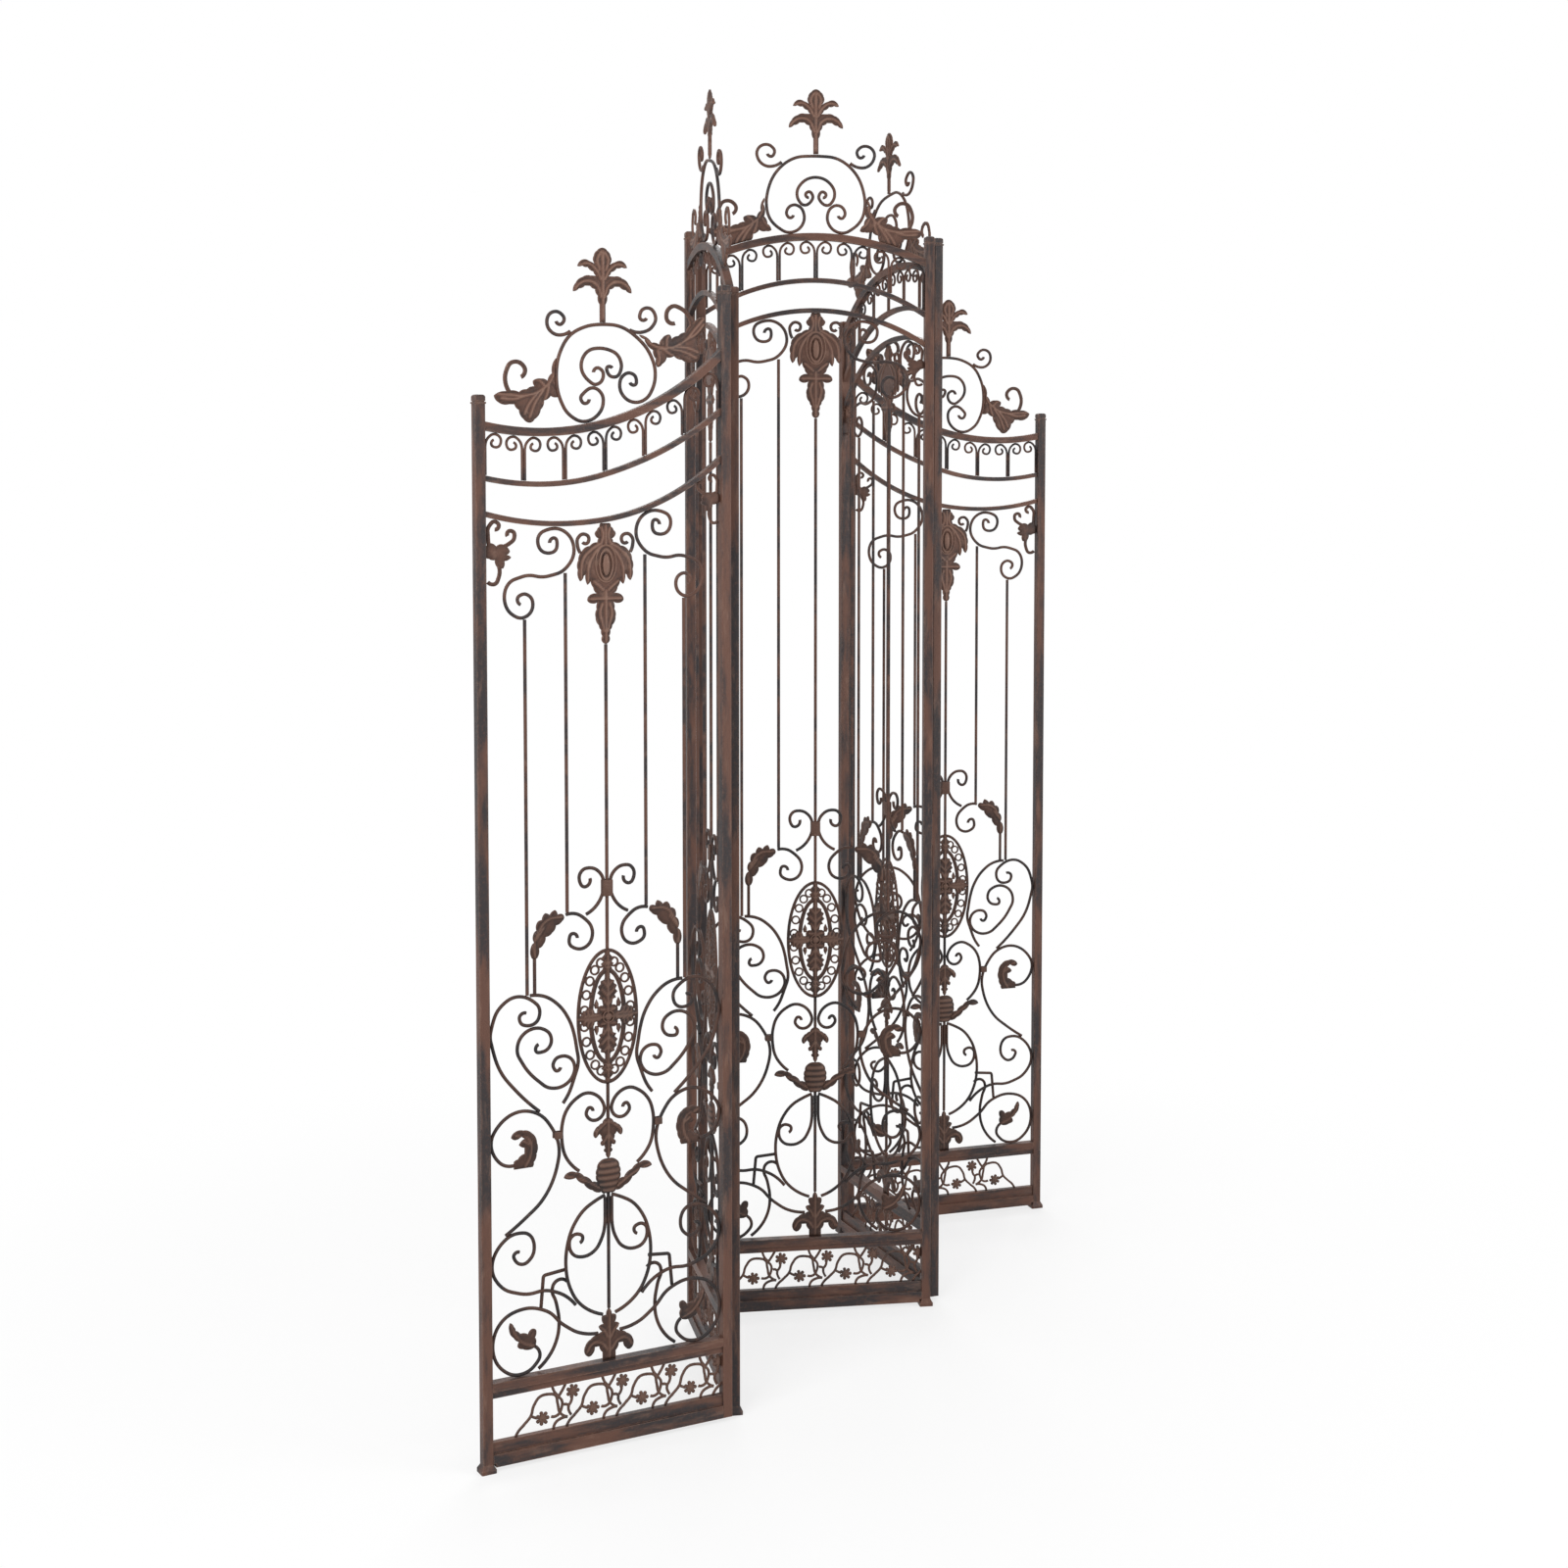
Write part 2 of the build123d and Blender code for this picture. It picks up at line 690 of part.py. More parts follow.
def corner_leaf(third_rail, side, scale):
    """A cast leaf bracket against a post, under the third rail."""
    shapes = []
    for points in (corner_body, *corner_stems):
        shapes.append([(x * scale - half_bay + weld, z * scale) for x, z in points])
    if side > 0:
        shapes = [flip(points) for points in shapes]
    level = min(hung_from(third_rail, low_rail_height, points, corner_thick) for points in shapes)
    body, *stems = [shift(points, 0, level) for points in shapes]
    return lobed_plate(body, stems, corner_thick * scale)


# ---------------------------------------------------------------- lower scrollwork
def lower_scrolls():
    """The round-bar scrollwork between the frieze and the pickets."""
    pieces = []
    for points in lower_shapes:
        pieces += both_sides(points)
    pieces += both_sides([(shoulder_line, shoulder_foot), (shoulder_line, shoulder_top)])
    pieces += both_sides(drop_scroll, stem=(drop_line, drop_top))
    pieces += both_sides(inner_bracket, layer=back_layer)
    for way in (-1, 1):
        corner = [(way * (half_pitch - x), z) for x, z in outer_bracket]
        pieces.append(bracket_bar(corner, bracket_corner, back_layer))
    pieces.append(straight_bar(0, cover_top + palmette_height + weld, cup_bottom - weld))
    pieces.append(straight_bar(0, fleur_top + weld, medallion_height - medallion_long - weld))
    return pieces


# ---------------------------------------------------------------- lower castings
def medallion():
    """An oval openwork medallion: two rings, a cross with a round boss, and fretwork between."""
    with BuildPart() as piece:
        with BuildSketch(Plane.XZ):
            with Locations((0, medallion_height)):
                Ellipse(medallion_wide, medallion_long)
                Ellipse(medallion_wide - outer_ring, medallion_long - outer_ring, mode=Mode.SUBTRACT)
                Ellipse(inner_wide, inner_long)
                Ellipse(inner_wide - inner_ring, inner_long - inner_ring, mode=Mode.SUBTRACT)
                Rectangle(2 * (medallion_wide - outer_ring / 2), cross_arm)
                Rectangle(cross_arm, 2 * (medallion_long - outer_ring / 2))
                Circle(cross_hub)
            fret_wide = (inner_wide + medallion_wide - outer_ring) / 2
            fret_long = (inner_long + medallion_long - outer_ring) / 2
            for number in range(fret_count):
                around = 2 * pi * (number + 0.5) / fret_count
                with Locations((fret_wide * cos(around), medallion_height + fret_long * sin(around))):
                    Circle(fret_curl)
                    Circle(fret_curl - fret_bar, mode=Mode.SUBTRACT)
            for x, z in ((-1, -1), (-1, 1), (1, -1), (1, 1)):
                with Locations((x * pierce_out, medallion_height + z * pierce_out)):
                    Circle(pierce_ring)
                    Circle(pierce_hole, mode=Mode.SUBTRACT)
        extrude(amount=casting_depth / 2, both=True)
        with BuildSketch(Plane.XZ.offset(casting_depth / 2)):
            with Locations((0, medallion_height)):
                Circle(boss_round)
        extrude(amount=boss_lift)
    return piece.part


def cup():
    """A ribbed beehive cup round the middle rod, with a leaf springing from each side."""
    leaves = [lobed_plate(leaf) for leaf in (from_post(cup_leaf), flip(from_post(cup_leaf)))]
    with BuildPart() as piece:
        with BuildSketch(Plane.XZ):
            with BuildLine():
                Line((0, cup_bottom), (cup_foot, cup_bottom))
                edge = [(cup_foot, cup_bottom)]
                for number in range(cup_ribs):
                    swell = sin(pi * (number + 1) / (cup_ribs + 1))
                    width = cup_foot + (cup_width - cup_foot) * swell
                    edge.append((width, cup_bottom + (number + 1) * cup_rib))
                edge.append((cup_neck, fleur_top - fleur_height - weld))
                for start, end in zip(edge, edge[1:]):
                    SagittaArc(start, end, -cup_bulge)
                Line(edge[-1], (0, edge[-1][1]))
                Line((0, edge[-1][1]), (0, cup_bottom))
            make_face()
            mirror(about=Plane.YZ)
        extrude(amount=cup_depth / 2, both=True)
        add(leaves)
    return piece.part


def collar(across, up, width, height):
    """A binding collar: a plate in front of the bars and one behind them."""
    with BuildPart() as piece:
        for way in (-1, 1):
            with BuildSketch(Plane.XZ.offset(way * bar_seat)):
                with Locations((across, up)):
                    RectangleRounded(width, height, collar_corner)
            extrude(amount=way * collar_thickness)
    return piece.part


def lower_castings():
    """Every casting below the pickets."""
    pieces = [
        medallion(),
        cup(),
        lobed_plate(shift(whole_edge(fleur_edge), 0, fleur_top)),
        lobed_plate(shift(whole_edge(palmette_edge), 0, cover_top)),
        collar(0, horn_collar, collar_width, collar_height),
    ]
    for leaf in (shoulder_leaf, hook_leaf, bud_leaf):
        pieces.append(lobed_plate(from_post(leaf)))
        pieces.append(lobed_plate(flip(from_post(leaf))))
    for side in (-1, 1):
        pieces.append(collar(side * side_collar[0], side_collar[1], small_collar_width, small_collar_height))
    return pieces


# ---------------------------------------------------------------- base rails and vine frieze
def base_rails(left_foot, right_foot):
    """Two stepped rails over the floor, one under the frieze window and one over it."""
    with BuildPart() as lower:
        for bottom, height, depth in (
            (base_bottom, base_band, base_depth),
            (base_bottom + base_band, base_strip, strip_depth),
        ):
            with BuildSketch(Plane.XY.offset(bottom)):
                Rectangle(2 * half_bay, depth)
            extrude(amount=height)
        for side, foot in ((-1, left_foot), (1, right_foot)):
            if foot:
                with BuildSketch(Plane.XY):
                    with Locations((side * half_pitch, 0)):
                        Rectangle(foot_size + 2 * weld, foot_size + 2 * weld)
                extrude(amount=foot_height + weld, mode=Mode.SUBTRACT)
    with BuildPart() as upper:
        for bottom, height, depth in (
            (window_top, cover_strip, strip_depth),
            (window_top + cover_strip, cover_band, base_depth),
        ):
            with BuildSketch(Plane.XY.offset(bottom)):
                Rectangle(2 * half_bay, depth)
            extrude(amount=height)
    return [lower.part, upper.part]


def vine_frieze():
    """A flat pierced casting of vine stems and seven-petalled flowers in the window."""
    with BuildPart() as piece:
        with BuildSketch(Plane.XZ):
            for number in range(-1, 5):
                start = number * vine_repeat + vine_start
                for stem in vine_stems:
                    with BuildLine():
                        smooth_run(shift(stem, start, 0))
                    trace(line_width=vine_width)
                for x, z in vine_flowers:
                    with Locations((start + x, z)):
                        Circle(flower_radius)
                        with PolarLocations(flower_radius + petal_radius / 2, petals):
                            Circle(petal_radius)
            with Locations((0, window_bottom + window_height / 2)):
                Rectangle(2 * (half_bay - weld), window_height - 2 * weld, mode=Mode.INTERSECT)
        extrude(amount=vine_depth / 2, both=True)
    return piece.part


# ---------------------------------------------------------------- posts
def post(across, height, foot):
    """A square tube post with a cap, and a spreading foot where it stands on the floor."""
    start = foot_height if foot else base_bottom
    with BuildPart() as tube:
        with BuildSketch(Plane.XY.offset(start)):
            with Locations((across, 0)):
                RectangleRounded(post_size, post_size, post_edge)
                bore = post_size - 2 * post_wall
                Rectangle(bore, bore, mode=Mode.SUBTRACT)
        extrude(amount=height - cap_height - start)
    with BuildPart() as cap:
        with BuildSketch(Plane.XY.offset(height - cap_height)):
            with Locations((across, 0)):
                Rectangle(post_size + 2 * cap_lip, post_size + 2 * cap_lip)
        extrude(amount=cap_skirt)
        with BuildSketch(Plane.XY.offset(height - cap_height + cap_skirt)):
            with Locations((across, 0)):
                Rectangle(post_size - 2 * cap_lip, post_size - 2 * cap_lip)
        extrude(amount=cap_groove)
        with BuildSketch(Plane.XY.offset(height - cap_height + cap_skirt + cap_groove)):
            with Locations((across, 0)):
                Rectangle(post_size, post_size)
        extrude(amount=cap_height - cap_skirt - cap_groove)
        fillet(cap.faces().sort_by(Axis.Z)[-1].edges(), cap_round)
    pieces = [tube.part, cap.part]
    if foot:
        with BuildPart() as pad:
            with BuildSketch(Plane.XY):
                with Locations((across, 0)):
                    Rectangle(foot_size, foot_size)
            extrude(amount=foot_sole)
            fillet(pad.edges().filter_by(Axis.Z), foot_round)
            with BuildSketch(Plane.XY.offset(foot_sole)):
                with Locations((across, 0)):
                    RectangleRounded(foot_size, foot_size, foot_round)
            with BuildSketch(Plane.XY.offset(foot_height)):
                with Locations((across, 0)):
                    RectangleRounded(post_size, post_size, foot_round)
            loft()
        pieces.append(pad.part)
    return pieces


# ---------------------------------------------------------------- hinges
def knuckles(side, face, ends):
    """The knuckles and leaves a panel carries on one of its posts.

    side is -1 or 1 for the left or right post and face is -1 or 1 for its front or back. A panel
    carries either the two end knuckles of every hinge (ends is True) or the middle one.
    """
    pieces = []
    across = side * (half_pitch + hinge_side)
    pitch = knuckle + knuckle_gap
    for height in hinge_heights:
        for number in (-1, 1) if ends else (0,):
            with BuildPart() as piece:
                with BuildSketch(Plane.XY.offset(height + number * pitch - knuckle / 2)):
                    with Locations((across, face * hinge_off)):
                        Circle(barrel / 2)
                    with Locations((across - side * leaf_width / 2, face * (half_post + leaf_thickness / 2))):
                        Rectangle(leaf_width, leaf_thickness)
                    with Locations((across, face * hinge_off)):
                        Circle(pin / 2 + pin_fit, mode=Mode.SUBTRACT)
                extrude(amount=knuckle)
            pieces.append(piece.part)
    return pieces


def hinge_pins(side, face):
    """Three headed pins on one hinge line, in the panel that carries them."""
    pieces = []
    length = 3 * knuckle + 2 * knuckle_gap + 2 * pin_play
    for height in hinge_heights:
        with BuildPart() as piece:
            centre = (side * (half_pitch + hinge_side), face * hinge_off)
            with BuildSketch(Plane.XY.offset(height - length / 2)):
                with Locations(centre):
                    Circle(pin / 2)
            extrude(amount=length)
            for bottom in (height - length / 2 - pin_head, height + length / 2):
                with BuildSketch(Plane.XY.offset(bottom)):
                    with Locations(centre):
                        Circle(barrel / 2)
                extrude(amount=pin_head)
        pieces.append(piece.part)
    return pieces


# ---------------------------------------------------------------- panels
def gather(pieces):
    """Several pieces as one part."""
    with BuildPart() as group:
        add(pieces)
    return group.part


def mirrored(part):
    """A part seen from the other side of the panel's middle line."""
    with BuildPart() as other:
        add(part)
        mirror(about=Plane.YZ, mode=Mode.REPLACE)
    return other.part


def upper_work(kind):
    """The rails, pickets, scrolls and castings that depend on how a panel's top is arched."""
    top_rail, second_rail, third_rail = [spots_on(from_post(heights)) for heights in rail_heights[kind]]
    top_heights, second_heights, third_heights = rail_heights[kind]
    castings = [pendant(third_rail)]
    for side, scale in zip((-1, 1), corner_scales[kind]):
        castings.append(corner_leaf(third_rail, side, scale))
    if kind == "outer":
        crest_bars, level = outer_crest(top_rail)
        crest = crest_bars[0]
        castings.append(finial(outer_finial[0], level + outer_finial[1]))
        for across, up, side, lean in outer_sprays:
            castings.append(spray(top_heights, crest, across, level + up, side, lean))
    else:
        crest_bars, level = even_crest(top_rail)
        crest = crest_bars[0]
        slope = arch_at(top_rail, 0)[1]
        castings.append(finial(0, level + even_finial))
        for side in (-1, 1):
            across = -side * even_spray[0]
            castings.append(spray(top_heights, crest, across, level + even_spray[1] + slope * across, side))
    rails = [
        arched_rail(top_heights, top_rail_height, top_rail_depth),
        arched_rail(second_heights, low_rail_height, low_rail_depth),
        arched_rail(third_heights, low_rail_height, low_rail_depth),
    ]
    return {
        "arched_rails": gather(rails),
        "pickets": gather(pickets(third_rail)),
        "upper_scrolls": gather(
            [round_bar(points) for points in crest_bars]
            + crooks(top_rail, second_rail)
            + under_scrolls(third_rail)
        ),
        "upper_castings": gather(castings),
    }


# ---------------------------------------------------------------- where each panel stands
def across_floor(heading, side, face):
    """Step from a panel's middle to one of its hinge lines, for a panel turned to a heading."""
    step = Vector(side * (half_pitch + hinge_side), face * hinge_off)
    return step.rotate(Axis.Z, heading)


inner_left, left_corner, right_corner, inner_right = [180 - angle for angle in corner_angles]
headings = {
    "left_outer": left_corner - inner_left,
    "left_inner": left_corner,
    "centre": 0.0,
    "right_inner": right_corner,
    "right_outer": right_corner - inner_right,
}
# Hinge sides of every panel: left or right post, front or back, and whether it has the end knuckles
hinge_sides = {
    "left_outer": ((1, 1, False),),
    "left_inner": ((-1, 1, True), (1, -1, False)),
    "centre": ((-1, -1, True), (1, 1, True)),
    "right_inner": ((-1, 1, False), (1, -1, True)),
    "right_outer": ((-1, -1, False),),
}
# Arch, whether it is mirrored, post heights and feet of every panel, left then right
panels = {
    "left_outer": ("outer", False, (outer_height, inner_height), (True, False)),
    "left_inner": ("inner", False, (inner_height, centre_height), (True, False)),
    "centre": ("centre", False, (centre_height, centre_height), (True, True)),
    "right_inner": ("inner", True, (centre_height, inner_height), (False, True)),
    "right_outer": ("outer", True, (inner_height, outer_height), (False, True)),
}
middles = {"centre": Vector(0, 0)}
for panel, neighbour, side in (
    ("left_inner", "centre", -1),
    ("left_outer", "left_inner", -1),
    ("right_inner", "centre", 1),
    ("right_outer", "right_inner", 1),
):
    face = {near: way for near, way, ends in hinge_sides[neighbour]}[side]
    line = middles[neighbour] + across_floor(headings[neighbour], side, face)
    middles[panel] = line - across_floor(headings[panel], -side, face)

# ---------------------------------------------------------------- every piece of every panel
upper = {kind: upper_work(kind) for kind in rail_heights}
lower = {
    "lower_scrolls": gather(lower_scrolls()),
    "lower_castings": gather(lower_castings()),
    "vine_frieze": vine_frieze(),
}
pieces = []
for panel, (kind, turned, heights, feet) in panels.items():
    groups = dict(lower)
    for name, part in upper[kind].items():
        groups[name] = mirrored(part) if turned else part
    groups["left_post"] = gather(post(-half_pitch, heights[0], feet[0]))
    groups["right_post"] = gather(post(half_pitch, heights[1], feet[1]))
    groups["base_rails"] = gather(base_rails(*feet))
    groups["hinge_knuckles"] = gather(
        [piece for side, face, ends in hinge_sides[panel] for piece in knuckles(side, face, ends)]
    )
    for side, face, ends in hinge_sides[panel]:
        if ends:
            groups["left_hinge_pins" if side < 0 else "right_hinge_pins"] = gather(hinge_pins(side, face))
    stand = Plane(origin=middles[panel], x_dir=Vector(1, 0).rotate(Axis.Z, headings[panel]))
    for name, part in groups.items():
        with BuildPart(stand) as placed:
            add(part)
        placed.part.label = f"{panel}_{name}"
        pieces.append(placed.part)

# ---------------------------------------------------------------- centre on the floor and export
room = Compound(pieces).bounding_box()
floor_middle = Plane(origin=(-room.center().X, -room.center().Y, 0))
os.makedirs("parts", exist_ok=True)
for piece in pieces:
    with BuildPart(floor_middle) as final:
        add(piece)
    final.part.label = piece.label
    export_step(final.part, f"parts/{piece.label}.step")
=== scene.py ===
# %% [markdown]
# # A five-panel wrought iron floor screen with cast ornaments
# The screen stands in a zigzag on its hinges. Its posts, rails, rods and scrolls are already exact solids, so
# they stay and only get a finish. The castings are flat plates in the solid model, while the real ones are
# carved: each is copied here and its flat faces are worked into relief. The room is measured in metres, and
# what is drawn on a panel in millimetres.

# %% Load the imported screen
import json
from math import cos, exp, pi, radians, sin, sqrt

import bmesh
import bpy
from mathutils import Matrix, Vector, kdtree, noise

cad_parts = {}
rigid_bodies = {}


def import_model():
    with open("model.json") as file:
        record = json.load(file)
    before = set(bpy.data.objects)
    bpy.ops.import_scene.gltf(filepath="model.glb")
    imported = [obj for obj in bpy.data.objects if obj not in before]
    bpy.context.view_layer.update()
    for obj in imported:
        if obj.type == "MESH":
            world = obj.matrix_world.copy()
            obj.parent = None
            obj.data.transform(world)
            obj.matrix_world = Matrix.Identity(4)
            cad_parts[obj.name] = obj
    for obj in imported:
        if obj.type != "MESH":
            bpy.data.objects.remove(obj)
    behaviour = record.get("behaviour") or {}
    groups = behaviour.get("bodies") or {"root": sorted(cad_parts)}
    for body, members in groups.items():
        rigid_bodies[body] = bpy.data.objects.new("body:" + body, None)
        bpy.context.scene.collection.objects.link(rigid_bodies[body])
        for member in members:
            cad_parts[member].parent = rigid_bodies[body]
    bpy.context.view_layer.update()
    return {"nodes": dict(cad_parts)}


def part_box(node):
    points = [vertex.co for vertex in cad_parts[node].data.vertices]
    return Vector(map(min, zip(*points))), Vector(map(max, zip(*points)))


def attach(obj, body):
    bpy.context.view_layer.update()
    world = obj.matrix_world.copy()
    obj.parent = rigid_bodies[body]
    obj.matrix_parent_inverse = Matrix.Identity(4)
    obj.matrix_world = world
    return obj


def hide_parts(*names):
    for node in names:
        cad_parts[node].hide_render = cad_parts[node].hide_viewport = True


for leftover in list(bpy.data.objects):
    bpy.data.objects.remove(leftover)
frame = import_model()

# %% [markdown]
# Each panel is drawn flat and then turned about its hinges. A matrix from the panel's own directions to the
# room lets one routine work on all five: X runs along the panel, -Y is its front and Z is up. The middles of
# the two posts give it, so nothing has to be measured by hand.

# %% Find where each panel stands
panels = ("left_outer", "left_inner", "centre", "right_inner", "right_outer")
millimetre = 0.001


def panel_place(panel):
    """The matrix that stands a panel drawn in millimetres, front to -Y, in its place in the room."""
    ends = []
    for side in ("left", "right"):
        low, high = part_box(f"{panel}_{side}_post")
        ends.append(Vector(((low.x + high.x) / 2, (low.y + high.y) / 2, 0)))
    along = (ends[1] - ends[0]).normalized()
    up = Vector((0, 0, 1))
    axes = Matrix((along, up.cross(along), up)).transposed().to_4x4()
    return Matrix.Translation((ends[0] + ends[1]) / 2) @ axes @ Matrix.Scale(millimetre, 4)


places = {panel: panel_place(panel) for panel in panels}
for panel in panels:
    print(panel, "stands at", [round(v, 3) for v in places[panel].translation])

# %% [markdown]
# A casting's front and back are single flat faces, which can't hold relief because they have no points inside
# their outline. A few hundred cuts with `bisect_plane`, two or three millimetres apart, give them a fine grid
# and leave the outline as sharp as it was. A remesh would also give points, but it would blur thin leaves.
# The points are kept in lists, in the order of the mesh, so that every run cuts in the same order.

# %% Cut the flat faces into a grid
flat_enough = 0.99
tone_name = "relief_tone"
merge_distance = 0.002
smooth_turn = radians(0.5)
cut_reach = 0.001


def is_flat(face):
    """Whether a face looks straight out of the panel's front or back."""
    return abs(face.normal.y) > flat_enough


def separate_castings(shape):
    """The castings of a bmesh, each as a list of its points."""
    left = set(shape.verts)
    castings = []
    for start in list(shape.verts):
        if start not in left:
            continue
        left.remove(start)
        found = [start]
        for point in found:
            for edge in point.link_edges:
                other = edge.other_vert(point)
                if other in left:
                    left.remove(other)
                    found.append(other)
        castings.append(found)
    return castings


def cut_grid(shape, points, step):
    """Cuts the flat faces that use these points with upright and level planes, a step apart."""
    faces = dict.fromkeys(face for point in points for face in point.link_faces if is_flat(face))
    edges = dict.fromkeys(edge for face in faces for edge in face.edges)
    corners = dict.fromkeys(point for edge in edges for point in edge.verts)
    geometry = [*faces, *edges, *corners]
    for axis, normal in ((0, Vector((1, 0, 0))), (2, Vector((0, 0, 1)))):
        low = min(point.co[axis] for point in points)
        high = max(point.co[axis] for point in points)
        for number in range(1, int((high - low) / step) + 1):
            place = normal * (low + number * step - step / 3)
            cut = bmesh.ops.bisect_plane(shape, geom=geometry, dist=cut_reach, plane_co=place, plane_no=normal)
            geometry = cut["geom"]


def casting_copy(node, place):
    """A copy of a solid's mesh, merged and laid in its panel's own directions, in millimetres."""
    shape = bmesh.new()
    shape.from_mesh(frame["nodes"][node].data)
    shape.verts.layers.float.new(tone_name)
    bmesh.ops.transform(shape, matrix=place.inverted(), verts=shape.verts)
    bmesh.ops.remove_doubles(shape, verts=shape.verts, dist=merge_distance)
    bmesh.ops.dissolve_limit(shape, angle_limit=smooth_turn, verts=shape.verts, edges=shape.edges)
    shape.normal_update()
    return shape


# %% [markdown]
# The relief itself is a height for every point of the flat faces, worked out from how far the point is from
# the outline and from the leaf's ribs. Near the outline the face rolls over like a worn casting, further in it
# swells, and along each rib it rises to its full height, with a shallow groove on either side. The height is
# also kept as an attribute, so that the finish can paint shade into the hollows and lighten the ridges, partly
# as rubbed wear and partly as a painted highlight.

# %% Raise the relief
neutral_tone = 0.72
plate_half = 4.0
boss_level = 6.5
rim_spacing = 0.5
level_slack = 0.01
rim_share = 0.6
groove_depth, groove_place, groove_narrow = 0.35, 1.9, 1.4
cast_rough, rough_scale = 0.05, 0.35


def rim_points(shape):
    """Points along the outer rims of the flat faces, listed by the depth that they lie at."""
    rims = {}
    for edge in shape.edges:
        if len(edge.link_faces) != 2 or not edge.is_convex:
            continue
        if sum(is_flat(face) for face in edge.link_faces) != 1:
            continue
        start, end = edge.verts[0].co, edge.verts[1].co
        if abs(start.y - end.y) > level_slack:
            continue
        count = max(1, int((end - start).length / rim_spacing))
        spots = rims.setdefault(round(start.y, 1), [])
        spots.extend(start.lerp(end, number / count) for number in range(count))
    return rims


def nearest_on(spots):
    """A search tree over a list of points."""
    tree = kdtree.KDTree(len(spots))
    for number, spot in enumerate(spots):
        tree.insert(spot, number)
    tree.balance()
    return tree


def raise_relief(shape, plain, ribs, core, roll, swell, ground, rib_width):
    """Works the flat faces, all but the plain castings': half-thickness core at the rim, rolled over,
    swelling inwards to the ground's share of the height, with ribs that reach the full height."""
    rib_tree = nearest_on(ribs) if ribs else None
    tone_layer = shape.verts.layers.float[tone_name]
    worked = [face for face in shape.faces if is_flat(face) and not plain.intersection(face.verts)]
    rims = rim_points(shape)
    bmesh.ops.triangulate(shape, faces=worked, quad_method="BEAUTY", ngon_method="BEAUTY")
    shape.normal_update()
    levels = {}
    for face in shape.faces:
        if is_flat(face) and not plain.intersection(face.verts):
            for point in face.verts:
                levels.setdefault(round(point.co.y, 1), {})[point] = True
    moves = []
    for level, spots in rims.items():
        tree = nearest_on(spots)
        for point in levels.get(level, ()):
            inside = tree.find(point.co)[2]
            near = 1 - min(inside / roll, 1)
            rolled = sqrt(1 - near * near)
            deep = ground * (rim_share + (1 - rim_share) * (1 - exp(-inside / swell)))
            rib = 0.0
            if rib_tree:
                beside = rib_tree.find(Vector((point.co.x, 0, point.co.z)))[2] / rib_width
                groove = exp(-((beside - groove_place) * groove_narrow) ** 2)
                rib = exp(-beside * beside) - groove_depth * groove
            rough = cast_rough * noise.noise(point.co * rough_scale)
            height = max(0.0, min(1.0, rolled * (deep + (1 - deep) * rib + rough)))
            # The tone follows the height, which the finish turns into painted shade in the grooves and lighter
            # ridges, partly a painted highlight; near the rim it stays at least neutral.
            moves.append((point, level, height, max(height, neutral_tone * near)))
    for point in shape.verts:
        point[tone_layer] = neutral_tone
    for point, level, height, tone in moves:
        outer = min(abs(level), plate_half) if abs(level) > boss_level else abs(level)
        inner = min(core, outer)
        point.co.y = (inner + (outer - inner) * height) * (1 if level > 0 else -1)
        point[tone_layer] = tone


# %% [markdown]
# The binding collars among the castings are plain strips, so instead of relief their corners are simply eased
# with a bevel. A finished casting then goes to its place in the room, keeps sharp only its real creases, rides
# with its panel and stands in for the solids that it was copied from.

# %% Ease the collars and finish a piece
square_corner, crease = radians(40), radians(55)


def is_collar(points):
    """Whether a casting is one strip of a binding collar: it lies wholly in front of or behind the bars."""
    depths = [point.co.y for point in points]
    return min(depths) > 0 or max(depths) < 0


def ease_corners(shape, points, width):
    """Bevels the square corners of a plain casting."""
    edges = [edge for edge in shape.edges if points.intersection(edge.verts)]
    sharp = [edge for edge in edges if edge.calc_face_angle(0) > square_corner]
    bmesh.ops.bevel(
        shape, geom=sharp, offset=width, offset_type="OFFSET", segments=2, profile=0.5, affect="EDGES",
        material=-1, clamp_overlap=True)


def finished_piece(shape, name, place, body, nodes):
    """Turns a bmesh in a panel's directions into an object that rides with the panel."""
    bmesh.ops.transform(shape, matrix=place, verts=shape.verts)
    mesh = bpy.data.meshes.new(name)
    shape.to_mesh(mesh)
    shape.free()
    mesh.shade_smooth()
    mesh.set_sharp_from_angle(angle=crease)
    piece = bpy.data.objects.new(name, mesh)
    bpy.context.scene.collection.objects.link(piece)
    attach(piece, body)
    if nodes:
        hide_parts(*nodes)
    return piece


# %% [markdown]
# The cup that carries the lowest leaf was turned, so it is spun: a half outline of five ribs goes round the
# upright axis. It is then flattened to the depth of the casting, as the real one is a slim cup round a rod.
# The mouldings on the drops are spun as well, from a small circle, and the bosses are low domes.

# %% Turned and domed details
cup_bottom, cup_top = 443.0, 502.6
cup_ribs, cup_rib = 5, 11.0
cup_foot, cup_width, cup_neck = 10.0, 22.0, 3.0
cup_depth = 14.0
cup_bulge = 2.6
rib_steps = 6
cup_sides, dome_sides, dome_rings, bead_sides, moulding_sides = 36, 16, 10, 8, 40
seam_gap = 0.01
# The shells take a ridge tone; the cup's two tones are painted shade at its rib joints and the spread of a
# painted highlight across each rib.
detail_tone, cup_joint_shade_tone, cup_rib_highlight_range = 0.85, 0.15, 0.8


def reachable(points):
    """Every point joined by edges to the given ones."""
    found, search = dict.fromkeys(points), list(points)
    while search:
        for edge in search.pop().link_edges:
            for other in edge.verts:
                if other not in found:
                    found[other] = True
                    search.append(other)
    return list(found)


def close_seams(shape, points):
    """Merges the points that a spin leaves doubled, and gives back those that are left."""
    whole = reachable(points)
    bmesh.ops.remove_doubles(shape, verts=whole, dist=seam_gap)
    return [point for point in whole if point.is_valid]


